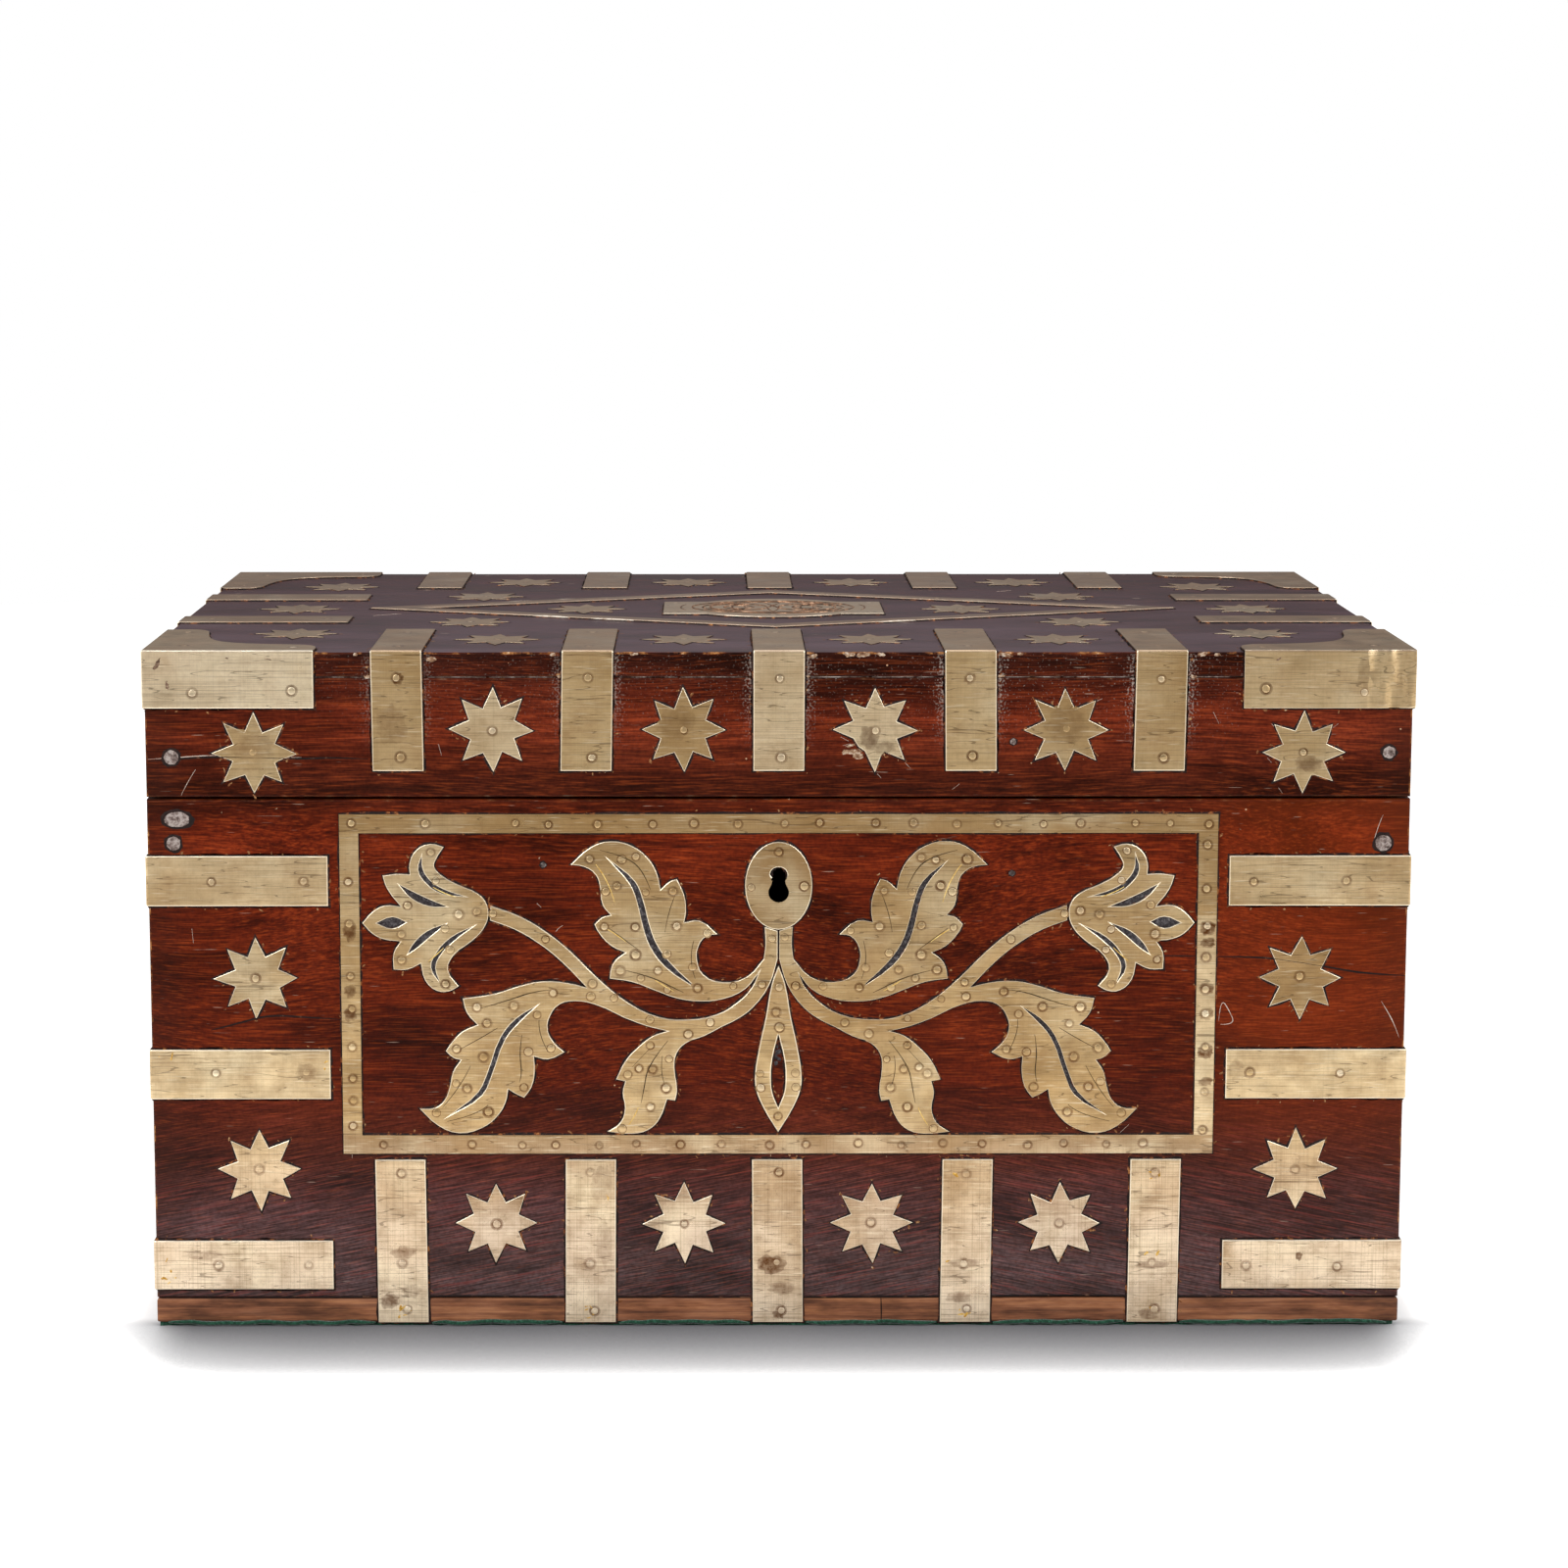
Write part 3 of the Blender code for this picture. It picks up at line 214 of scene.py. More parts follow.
def soft_box(name, place, aim, size, watts):
    """Square area lamp aimed at a point."""
    lamp = bpy.data.lights.new(name, "AREA")
    lamp.shape = "SQUARE"
    lamp.size = size
    lamp.energy = watts
    stand = bpy.data.objects.new(name, lamp)
    stand.location = place
    stand.rotation_euler = (Vector(aim) - Vector(place)).to_track_quat("-Z", "Y").to_euler()
    scene.collection.objects.link(stand)


soft_box("left_soft_box", (-1.5, -1.7, 1.3), (0, 0, 0.1), 1.3, 34)
soft_box("right_soft_box", (1.6, -1.6, 1.2), (0, 0, 0.1), 1.3, 26)
soft_box("top_soft_box", (0.0, -0.3, 1.9), (0, 0, 0.1), 1.2, 8)
print("three soft boxes")

# %% [markdown]
# ## Floor
#
# The box stands on white paper. In the photograph the paper is pure white, but for a soft grey shadow
# under the front edge that is gone about 60 mm out, as if the main light stood behind the box. An ambient
# occlusion node gives that: it measures how much of the sky the box hides within a set reach, which is
# long in front of the box and short round its other sides. Extra white, for rays that look at the paper,
# brings it level with the sky, so that its far edge doesn't show. Shiny surfaces see the paper a little
# warmer and with a fainter shadow, which keeps the low brass bright.

# %% White paper
SHADOW_REACH = 70 * MM
SIDE_REACH = 12 * MM
paper, tree = start_finish("matte white paper")
path = add_node(tree, "LightPath")
spot = add_node(tree, "TexCoord").outputs["Object"]
split = add_node(tree, "SeparateXYZ", links={0: spot}).outputs
out_x = add_node(tree, "Math", {"operation": "ABSOLUTE"}, links={0: split["X"]})
in_front = add_node(tree, "MapRange", SOFT_STEP,
                    {"From Min": -HALF_DEPTH + 10 * MM, "From Max": -HALF_DEPTH}, {"Value": split["Y"]})
between = add_node(tree, "MapRange", SOFT_STEP,
                   {"From Min": HALF_WIDTH + 30 * MM, "From Max": HALF_WIDTH - 15 * MM}, {"Value": out_x})
front = add_node(tree, "Math", TIMES, links={0: in_front, 1: between})
reach = add_node(tree, "MapRange", values={"To Min": SIDE_REACH, "To Max": SHADOW_REACH},
                 links={"Value": front})
open_sky = add_node(tree, "AmbientOcclusion", {"samples": 16}, links={"Distance": reach})
shadow = add_node(tree, "ValToRGB", links={0: open_sky.outputs["AO"]},
                  stops=[(0.5, "#525254"), (0.72, "#78787a"), (0.88, "#a7a7a8"), (0.97, "#ebebeb")])
depth = add_node(tree, "MapRange", values={"To Min": 0.4}, links={"Value": front})
shadow = add_node(tree, "Mix", COLOURS, {MIX_A: "#ebebeb"}, {0: depth, MIX_B: shadow})
matte = add_node(tree, "BsdfDiffuse", links={"Color": shadow})
looked_at = add_node(tree, "Math", {"operation": "MAXIMUM"},
                     links={0: path.outputs["Is Glossy Ray"], 1: path.outputs["Is Transmission Ray"]})
looked_at = add_node(tree, "Math", {"operation": "MAXIMUM"},
                     links={0: looked_at, 1: path.outputs["Is Camera Ray"]})
level = add_node(tree, "Math", TIMES, {1: 0.8}, {0: looked_at})
mirrored = add_node(tree, "Math", TIMES, {1: 0.6}, {0: path.outputs["Is Glossy Ray"]})
glow = add_node(tree, "Mix", COLOURS, {MIX_B: "#f4e8d4"}, {0: mirrored, MIX_A: shadow})
white = add_node(tree, "Emission", links={"Color": glow, "Strength": level})
both = add_node(tree, "AddShader", links={0: matte, 1: white})
add_node(tree, "OutputMaterial", links={"Surface": both})


def all_parts(bm):
    """Every face, edge and corner, as cutting tools want them."""
    return bm.faces[:] + bm.edges[:] + bm.verts[:]


bm = bmesh.new()
bmesh.ops.create_circle(bm, cap_ends=True, segments=64, radius=2.2)
bmesh.ops.bisect_plane(bm, geom=all_parts(bm), plane_co=(0, -0.5, 0), plane_no=(0, -1, 0), clear_outer=True)
mesh = bpy.data.meshes.new("paper_floor")
bm.to_mesh(mesh)
bm.free()
mesh.materials.append(paper)
floor = bpy.data.objects.new("paper_floor", mesh)
scene.collection.objects.link(floor)
print("paper floor laid")

# %% [markdown]
# ## Rosewood
#
# Polished rosewood is a deep orange-brown with darker fibres that run with the grain, and fine dark
# pores. Polish gives it a soft gloss. On this box the panel is the reddest part, the foot is darker and
# more purple, and old wear shows raw wood along the arrises. Fibres are noise stretched along the grain:
# about 80 mm by 2.4 mm for the figure and 13 mm by 0.5 mm for the pores. Real pores are finer than a
# pixel, so they are drawn that coarse. In the foot the figure fans out as thin red lines from a place a
# little right of the lock, so there the noise is read along a slanted direction. Light and shade are
# painted in too: the lid's top is painted darker as shade, and greyish in patches as a painted
# reflection, most along its front; the long boards are painted darker towards the box's left and right
# ends, as shade.

# %% Polished rosewood
ARRIS = 0.7 * MM
INNER_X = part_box("left_wall")[1].x
INNER_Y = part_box("back_wall")[0].y
FOOT_TOP = 100 * MM
FOOT_FULL = 50 * MM
FOOT_SLOPE = 0.2
FAN_MIDDLE = 60 * MM
STRAP_PITCH = 66 * MM
HALF_STRAP = 8.9 * MM


def rosewood(name, lengthwise):
    """Polished rosewood whose grain runs along X, or along Y where lengthwise is False."""
    wood, tree = start_finish(name)
    spot = add_node(tree, "TexCoord").outputs["Object"]
    split = add_node(tree, "SeparateXYZ", links={0: spot}).outputs
    out_x = add_node(tree, "Math", {"operation": "ABSOLUTE"}, links={0: split["X"]})
    out_y = add_node(tree, "Math", {"operation": "ABSOLUTE"}, links={0: split["Y"]})

    # the grain wanders: places are shifted by a broad noise before the fibres are read
    place = add_node(tree, "Mapping", values={"Scale": (1 / (120 * MM),) * 3}, links={0: spot})
    broad = add_node(tree, "TexNoise", values={"Scale": 1.0, "Detail": 0.0}, links={"Vector": place})
    wander = add_node(tree, "MapRange", SOFT_STEP,
                      {"From Min": SEAM + 10 * MM, "From Max": SEAM - 25 * MM, "To Min": 8 * MM,
                       "To Max": 32 * MM}, {"Value": split["Z"]})
    shift = add_node(tree, "Math", TIMES, links={0: wander, 1: broad})
    flow = add_node(tree, "VectorMath", {"operation": "ADD"}, links={0: spot, 1: shift})

    def fibres(length, across, detail, warp, source=flow, turned=False):
        """Noise drawn out along the grain, with its size in millimetres."""
        first, second = (length, across) if lengthwise or turned else (across, length)
        scale = (1 / (first * MM), 1 / (second * MM), 1 / (across * MM))
        place = add_node(tree, "Mapping", values={"Scale": scale}, links={0: source})
        return add_node(tree, "TexNoise",
                        values={"Scale": 1.0, "Detail": detail, "Roughness": 0.62, "Distortion": warp},
                        links={"Vector": place})

    figure = fibres(80, 2.4, 4.0, 0.2)
    pores = fibres(13, 0.5, 2.0, 0.0)
    clouds = fibres(60, 22, 3.0, 0.0)
    flecks = add_node(tree, "TexNoise", values={"Scale": 1 / (1.3 * MM), "Detail": 2.0},
                      links={"Vector": spot})

    # slanted lines of the foot
    from_fan = add_node(tree, "Math", {"operation": "SUBTRACT"}, {1: FAN_MIDDLE}, {0: split["X"]})
    from_fan = add_node(tree, "Math", {"operation": "ABSOLUTE"}, links={0: from_fan})
    slant = add_node(tree, "Math", {"operation": "MULTIPLY_ADD"}, {1: FOOT_SLOPE},
                     {0: from_fan, 2: split["Z"]})
    back = add_node(tree, "Math", {"operation": "MULTIPLY_ADD"}, {1: -FOOT_SLOPE},
                    {0: split["Z"], 2: from_fan})
    leaning = add_node(tree, "CombineXYZ", links={0: back, 1: split["Y"], 2: slant})
    lines = fibres(26, 0.8, 2.0, 0.0, leaning, True)
    fine_lines = fibres(10, 0.45, 1.0, 0.0, leaning, True)
    foot = add_node(tree, "MapRange", SOFT_STEP,
                    {"From Min": FOOT_TOP, "From Max": FOOT_FULL, "To Max": 0.85}, {"Value": split["Z"]})
    streak = add_node(tree, "Mix", {"data_type": "FLOAT"}, links={0: foot, 2: figure, 3: lines})
    pores = add_node(tree, "Mix", {"data_type": "FLOAT"}, links={0: foot, 2: pores, 3: fine_lines})

    # tone by height, whose last stop paints the lid's top darker as shade; then darkened by streaks,
    # pores and clouds
    height = add_node(tree, "MapRange", values={"From Min": 0.0, "From Max": WOOD_TOP},
                      links={"Value": split["Z"]})
    colour = add_node(tree, "ValToRGB", links={0: height},
                      stops=[(0.0, "#716871"), (0.1, "#75646a"), (0.19, "#6f5054"), (0.25, "#6c3a31"),
                             (0.3, "#733421"), (0.37, "#792b0e"), (0.46, "#82300f"),
                             (0.74, "#913614"), (0.8, "#5c2612"), (0.9, "#973f22"), (0.99, "#4c2114")])
    for amount, share, stops in (
            (streak, 0.6, [(0.3, "#5c473d"), (0.44, "#bbaaa0"), (0.56, "#f4eeea"), (0.7, "#ffffff")]),
            (pores, 0.95, [(0.3, "#8c7c74"), (0.5, "#cfc5bf"), (0.7, "#f4f0ee")]),
            (flecks, 0.6, [(0.35, "#c4b4ac"), (0.6, "#ffffff")]),
            (clouds, 0.8, [(0.32, "#6e5c56"), (0.5, "#dcd2cc"), (0.66, "#ffffff")])):
        shade = add_node(tree, "ValToRGB", links={0: amount}, stops=stops)
        colour = add_node(tree, "Mix", DARKEN, {0: share}, {MIX_A: colour, MIX_B: shade})

    # light fibres, red lines of the foot, pale specks and fine scratches in the polish
    light = add_node(tree, "MapRange", values={"From Min": 0.54, "From Max": 0.7, "To Max": 0.22},
                     links={"Value": pores})
    red = add_node(tree, "MapRange", values={"From Min": 0.56, "From Max": 0.64, "To Max": 0.42},
                   links={"Value": lines})
    red = add_node(tree, "Math", TIMES, links={0: red, 1: foot})
    place = add_node(tree, "Mapping", values={"Scale": (1 / (15 * MM),) * 3}, links={0: spot})
    specks = add_node(tree, "TexVoronoi", values={"Scale": 1.0}, links={"Vector": place})
    speck = add_node(tree, "Math", {"operation": "LESS_THAN"}, {1: 0.022}, {0: specks.outputs["Distance"]})
    place = add_node(tree, "Mapping",
                     values={"Scale": (1 / (9 * MM), 1 / (5 * MM), 1 / (0.45 * MM)),
                             "Rotation": (0.0, math.radians(58), math.radians(20))}, links={0: spot})
    fine = add_node(tree, "TexNoise", values={"Scale": 1.0, "Detail": 1.0}, links={"Vector": place})
    scratch = add_node(tree, "MapRange", values={"From Min": 0.76, "From Max": 0.81, "To Max": 0.5},
                       links={"Value": fine})
    # painted reflection: the lid's top is painted a greyish sheen in patches, stronger towards the front
    bloom = add_node(tree, "Math", {"operation": "GREATER_THAN"}, {1: WOOD_TOP - 0.1 * MM}, {0: split["Z"]})
    sheen_patches = add_node(tree, "MapRange",
                    values={"From Min": 0.3, "From Max": 0.7, "To Min": 0.3, "To Max": 0.7},
                    links={"Value": clouds})
    bloom = add_node(tree, "Math", TIMES, links={0: bloom, 1: sheen_patches})
    to_rear = add_node(tree, "MapRange",
                       values={"From Min": -HALF_DEPTH, "From Max": HALF_DEPTH, "To Min": 1.1,
                               "To Max": 0.5}, links={"Value": split["Y"]})
    bloom = add_node(tree, "Math", TIMES, links={0: bloom, 1: to_rear})
    # painted shade: the long boards are painted darker towards the box's left and right ends
    ends = add_node(tree, "MapRange", SOFT_STEP,
                    {"From Min": HALF_WIDTH - 20 * MM, "From Max": HALF_WIDTH,
                     "To Max": 0.45 if lengthwise else 0.0}, {"Value": out_x})

    # pale dust of old wax beside the lid's straps
    aside = add_node(tree, "Math", {"operation": "PINGPONG"}, {1: STRAP_PITCH / 2}, {0: split["X"]})
    beside = add_node(tree, "MapRange",
                      values={"From Min": HALF_STRAP + 5 * MM, "From Max": HALF_STRAP, "To Max": 0.2},
                      links={"Value": aside})
    dusty = add_node(tree, "MapRange", SOFT_STEP,
                     {"From Min": WOOD_TOP - 38 * MM, "From Max": WOOD_TOP - 10 * MM},
                     {"Value": split["Z"]})
    rightward = add_node(tree, "MapRange",
                         values={"From Min": -150 * MM, "From Max": 50 * MM, "To Min": 0.35},
                         links={"Value": split["X"]})
    dusty = add_node(tree, "Math", TIMES, links={0: dusty, 1: rightward})
    for place, side_of, limit in (
            (out_x, "LESS_THAN", 160 * MM), (split["Z"], "LESS_THAN", WOOD_TOP - ARRIS),
            (out_y, "GREATER_THAN", HALF_DEPTH - ARRIS)):
        among = add_node(tree, "Math", {"operation": side_of}, {1: limit}, {0: place})
        dusty = add_node(tree, "Math", TIMES, links={0: dusty, 1: among})
    grit = add_node(tree, "TexNoise", values={"Scale": 1 / (0.8 * MM), "Detail": 2.0},
                    links={"Vector": spot})
    grit = add_node(tree, "Math", {"operation": "ADD"}, links={0: grit, 1: beside})
    grit = add_node(tree, "MapRange", values={"From Min": 0.62, "From Max": 0.82, "To Max": 0.55},
                    links={"Value": grit})
    haze = add_node(tree, "Math", TIMES, links={0: grit, 1: dusty})

    # redder wood right of the panel, above the foot
    above_foot = add_node(tree, "Math", {"operation": "SUBTRACT"}, {0: 1.0}, {1: foot})
    warm = add_node(tree, "MapRange", SOFT_STEP,
                    {"From Min": 130 * MM, "From Max": 175 * MM, "To Max": 0.17}, {"Value": split["X"]})
    in_body = add_node(tree, "Math", {"operation": "LESS_THAN"}, {1: SEAM + 0.1 * MM}, {0: split["Z"]})
    for limit in (above_foot, in_body):
        warm = add_node(tree, "Math", TIMES, links={0: warm, 1: limit})

    for amount, paint in ((ends, "#2a130c"), (warm, "#9c3d10"), (light, "#a34a1b"), (red, "#7c2f26"),
                          (speck, "#b08a6c"), (scratch, "#b39a88"), (haze, "#b9ada2"), (bloom, "#66585f")):
        colour = add_node(tree, "Mix", COLOURS, {MIX_B: paint}, {0: amount, MIX_A: colour})

    # worn arrises, from the face attribute that the boards carry
    worn = add_node(tree, "Attribute", {"attribute_name": "wear"})
    patchy = add_node(tree, "TexNoise", values={"Scale": 1 / (7 * MM), "Detail": 5.0, "Roughness": 0.7},
                      links={"Vector": spot})
    raw = add_node(tree, "ValToRGB", links={0: patchy},
                   stops=[(0.5, "#7d4522"), (0.6, "#a3703f"), (0.68, "#d2bda4")])
    patchy = add_node(tree, "MapRange", values={"From Min": 0.48, "From Max": 0.6}, links={"Value": patchy})
    patchy = add_node(tree, "Math", TIMES, links={0: worn.outputs["Fac"], 1: patchy})
    colour = add_node(tree, "Mix", COLOURS, links={0: patchy, MIX_A: colour, MIX_B: raw})

    # unpolished wood inside the box
    near_x, near_y, low = (
        add_node(tree, "Math", {"operation": "LESS_THAN"}, {1: limit}, {0: place}) for place, limit in (
            (out_x, -INNER_X + 0.2 * MM), (out_y, INNER_Y + 0.2 * MM), (split["Z"], WOOD_TOP - 1.5 * MM)))
    inside = add_node(tree, "Math", TIMES, links={0: near_x, 1: near_y})
    inside = add_node(tree, "Math", TIMES, links={0: inside, 1: low})
    plain = add_node(tree, "Mix", COLOURS, {0: 0.55, MIX_B: "#6b4630"}, {MIX_A: colour})
    colour = add_node(tree, "Mix", COLOURS, links={0: inside, MIX_A: colour, MIX_B: plain})

    # gloss: smoother on the polish, duller inside and where it is worn
    dull = add_node(tree, "Math", {"operation": "MAXIMUM"}, links={0: inside, 1: patchy})
    rough = add_node(tree, "MapRange",
                     values={"From Min": 0.3, "From Max": 0.7, "To Min": 0.28, "To Max": 0.45},
                     links={"Value": clouds})
    rough = add_node(tree, "Mix", {"data_type": "FLOAT"}, {3: 0.7}, {0: dull, 2: rough})
    bump = add_node(tree, "Bump", values={"Strength": 0.35, "Distance": 0.12 * MM}, links={"Height": pores})
    shader = add_node(tree, "BsdfPrincipled", values={"IOR": 1.5, "Specular IOR Level": 0.09},
                      links={"Base Color": colour, "Roughness": rough, "Normal": bump})
    add_node(tree, "OutputMaterial", links={"Surface": shader})
    return wood


WOOD_ALONG = rosewood("polished rosewood, grain along the box", True)
WOOD_ACROSS = rosewood("polished rosewood, grain across the box", False)
print("rosewood mixed")

# %% [markdown]
# ## Boards
#
# The walls, rails and lid board have the right shape already, but real boards have no razor edges. Each
# board is a copy of its solid, merged and cleaned. The solids carry the stars as a low relief; that is
# taken down flush, because the stars are laid on as brass later. The long arrises are then rounded by a
# small bevel. The faces of that bevel carry an attribute, so that the finish can show wear there and
# nowhere else: most on the outer corners, little along the seams.

# %% Boards with softened arrises
MERGE = 0.001 * MM


def clean_flats(bm):
    """Merge doubled corners and turn flat areas into single faces."""
    bmesh.ops.remove_doubles(bm, verts=bm.verts, dist=MERGE)
    bmesh.ops.dissolve_limit(bm, angle_limit=math.radians(0.5), verts=bm.verts, edges=bm.edges)


def solid_copy(node):
    """Clean copy of a solid of the frame."""
    bm = bmesh.new()
    bm.from_mesh(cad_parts[node].data)
    clean_flats(bm)
    return bm


def add_piece(name, bm, material, body, stands_for=(), smooth=False):
    """A finished piece that rides on a body."""
    mesh = bpy.data.meshes.new(name)
    bm.to_mesh(mesh)
    bm.free()
    mesh.materials.append(material)
    if smooth:
        mesh.shade_smooth()
    thing = bpy.data.objects.new(name, mesh)
    scene.collection.objects.link(thing)
    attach(thing, body)
    if stands_for:
        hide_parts(*stands_for)
    return thing


def corner_wear(co):
    """Wear of an arris: full on the box's outer corners and the lid's top edge, faint elsewhere."""
    at_side = abs(co.x) > HALF_WIDTH - 2 * MM
    at_end = abs(co.y) > HALF_DEPTH - 2 * MM
    at_top = co.z > WOOD_TOP - 2 * MM
    return 1.0 if at_side + at_end + at_top > 1 else 0.12


def add_board(node, material, body):
    """A board with rounded, worn arrises."""
    bm = solid_copy(node)
    for vert in bm.verts:
        over = height_over_wood(vert.co)
        if over > 0.1 * MM:
            vert.co -= outward_axis(vert.co) * over
    clean_flats(bm)
    wear = bm.faces.layers.float.new("wear")
    arrises = [e for e in bm.edges if len(e.link_faces) == 2 and e.is_convex
               and e.calc_face_angle() > math.radians(35) and e.calc_length() > 24 * MM]
    made = bmesh.ops.bevel(bm, geom=arrises, offset=ARRIS, offset_type="OFFSET", segments=2, profile=0.5,
                           affect="EDGES", material=-1)
    for face in made["faces"]:
        face[wear] = corner_wear(face.calc_center_median())
    return add_piece(f"{node}_wood", bm, material, body, [node])


boards = [
    ("front_wall", WOOD_ALONG, "box"), ("back_wall", WOOD_ALONG, "box"),
    ("left_wall", WOOD_ACROSS, "box"), ("right_wall", WOOD_ACROSS, "box"),
    ("lid_top_board", WOOD_ALONG, "lid"), ("lid_front_rail", WOOD_ALONG, "lid"),
    ("lid_back_rail", WOOD_ALONG, "lid"), ("lid_left_rail", WOOD_ACROSS, "lid"),
    ("lid_right_rail", WOOD_ACROSS, "lid"),
]
for node, wood, body in boards:
    add_board(node, wood, body)
print("boards:", len(boards))

# %% [markdown]
# ## Base board
#
# The base is a plainer, lighter wood that was only oiled: brown, matte, with soft straight grain. A short
# upright joint in its front edge, a little right of the middle, is where it was pieced. The joint is a
# thin dark line, made later with the cracks.

# %% Oiled base wood
oiled, tree = start_finish("oiled brown base wood")
spot = add_node(tree, "TexCoord").outputs["Object"]
place = add_node(tree, "Mapping", values={"Scale": (1 / (40 * MM), 1 / (4 * MM), 1 / (1.1 * MM))},
                 links={0: spot})
grain = add_node(tree, "TexNoise", values={"Scale": 1.0, "Detail": 5.0, "Roughness": 0.7},
                 links={"Vector": place})
colour = add_node(tree, "ValToRGB", links={0: grain},
                  stops=[(0.3, "#634130"), (0.5, "#8c5c42"), (0.68, "#ac7650")])
place = add_node(tree, "Mapping", values={"Scale": (1 / (30 * MM), 1 / (30 * MM), 1 / (6 * MM))},
                 links={0: spot})
clouds = add_node(tree, "TexNoise", values={"Scale": 1.0, "Detail": 4.0, "Roughness": 0.65},
                  links={"Vector": place})
shade = add_node(tree, "ValToRGB", links={0: clouds},
                 stops=[(0.36, "#807674"), (0.5, "#dcd0c8"), (0.62, "#ffffff")])
colour = add_node(tree, "Mix", DARKEN, {0: 0.85}, {MIX_A: colour, MIX_B: shade})
bump = add_node(tree, "Bump", values={"Strength": 0.5, "Distance": 0.2 * MM}, links={"Height": grain})
shader = add_node(tree, "BsdfPrincipled", values={"Roughness": 0.55, "IOR": 1.5, "Specular IOR Level": 0.2},
                  links={"Base Color": colour, "Normal": bump})
add_node(tree, "OutputMaterial", links={"Surface": shader})
add_board("base_board", oiled, "box")
print("base board")

# %% [markdown]
# ## Brass
#
# The brass is thin rolled sheet, cut by hand, pinned down and rubbed for many years. It is a pale brown
# gold, satin rather than bright, with hair-fine scratches and wandering crackle lines full of dirt,
# cloudy brown tarnish, and edges that are rubbed and also painted pale as a highlight. Each sheet has
# its own tone, so a face attribute called tone picks a colour from brown to pale. Another marks the
# edges for that pale paint, partly wear and partly painted highlight, and a third called stain marks
# the tarnish round the pins. Scratches are noise stretched to about 60 mm by 0.4 mm. Real ones are
# finer, and are drawn as coarse as they need to show. A crackle line is drawn where a noise crosses its
# middle value, because that makes one thin line that wanders. Near the foot the brass is painted paler
# in bands, as the highlight and the light thrown up from the white table, and it is scratched both
# ways. On the lid's top the brass is painted a greyish sheen, as a painted reflection.

# %% Aged sheet brass
HATCH_TOP = 80 * MM
HATCH_FULL = 60 * MM
brass, tree = start_finish("aged sheet brass")
spot = add_node(tree, "TexCoord").outputs["Object"]
tone, rubbed_and_highlit, stain = (add_node(tree, "Attribute", {"attribute_name": name}).outputs["Fac"]
                       for name in ("tone", "rubbed_and_highlit", "stain"))


def brass_noise(size, detail, turn=(0.0, 0.0, 0.0)):
    """Noise in the brass with its size in millimetres along each axis."""
    place = add_node(tree, "Mapping",
                     values={"Scale": [1 / (s * MM) for s in size],
                             "Rotation": [math.radians(t) for t in turn]}, links={0: spot})
    return add_node(tree, "TexNoise", values={"Scale": 1.0, "Detail": detail, "Roughness": 0.62},
                    links={"Vector": place})


patches = brass_noise((34, 34, 34), 2.0)
clouds = brass_noise((11, 11, 11), 5.0)
mottle = brass_noise((2.6, 2.6, 2.6), 3.0)
across = brass_noise((60, 0.42, 0.42), 1.0, (0, 3, 0))
upright = brass_noise((0.42, 0.42, 60), 1.0, (0, 4, 0))
aslant = brass_noise((9, 0.5, 0.5), 1.0, (20, 62, 30))
long_cracks = brass_noise((36, 2.6, 2.6), 1.0, (0, 4, 0))
net_cracks = brass_noise((4.5, 4.5, 4.5), 3.0)

colour = add_node(tree, "ValToRGB", links={0: tone},
                  stops=[(0.0, "#836748"), (0.35, "#b7996c"), (0.65, "#d3b98c"), (1.0, "#fbecce")])
height = add_node(tree, "SeparateXYZ", links={0: spot})
layers = []
# painted light: the brass is painted paler in bands towards the foot, as the highlight and the light thrown
# up from the white table
for top, bottom, most, paint in (
        (75, 56, 0.35, "#d8c2b2"), (47, 36, 0.3, "#fdf1df"), (24, 6, 0.45, "#fdf1df")):
    pale = add_node(tree, "MapRange",
                    values={"From Min": top * MM, "From Max": bottom * MM, "To Max": most},
                    links={"Value": height.outputs["Z"]})
    layers.append((pale, paint))
hatched = add_node(tree, "MapRange",
                   values={"From Min": HATCH_TOP, "From Max": HATCH_FULL, "To Min": 0.4, "To Max": 1.3},
                   links={"Value": height.outputs["Z"]})
for source, start, end, most, paint in (
        (patches, 0.5, 0.7, 0.5, "#a07c48"), (patches, 0.48, 0.3, 0.45, "#f3e6c4"),
        (clouds, 0.46, 0.72, 0.5, "#8c6a42"), (mottle, 0.5, 0.72, 0.18, "#8f704c"),
        (across, 0.5, 0.74, 0.42, "#725837"), (upright, 0.5, 0.76, 0.28, "#7a6040"),
        (aslant, 0.6, 0.78, 0.5, "#f0e4c8")):
    amount = add_node(tree, "MapRange", values={"From Min": start, "From Max": end, "To Max": most},
                      links={"Value": source})
    if source == upright:
        amount = add_node(tree, "Math", TIMES, links={0: amount, 1: hatched})
    layers.append((amount, paint))
for source, width, most in ((long_cracks, 0.007, 0.5), (net_cracks, 0.005, 0.2)):
    line = add_node(tree, "Math", {"operation": "COMPARE"}, {1: 0.5, 2: width}, {0: source})
    line = add_node(tree, "Math", TIMES, {1: most}, {0: line})
    if source == net_cracks:
        line = add_node(tree, "Math", TIMES, links={0: line, 1: hatched})
    layers.append((line, "#4e3b25"))
grimy = add_node(tree, "MapRange", values={"From Min": 0.35, "From Max": 0.6, "To Min": 0.55},
                 links={"Value": mottle})
grimy = add_node(tree, "Math", TIMES, links={0: grimy, 1: stain})
layers.append((grimy, "#5a3413"))
# painted reflection: brass on the lid's top is painted a greyish pink sheen
bloom = add_node(tree, "Math", {"operation": "GREATER_THAN"}, {1: WOOD_TOP + 0.2 * MM},
                 {0: height.outputs["Z"]})
bloom = add_node(tree, "Math", TIMES, {1: 0.45}, {0: bloom})
layers.append((bloom, "#b89f93"))
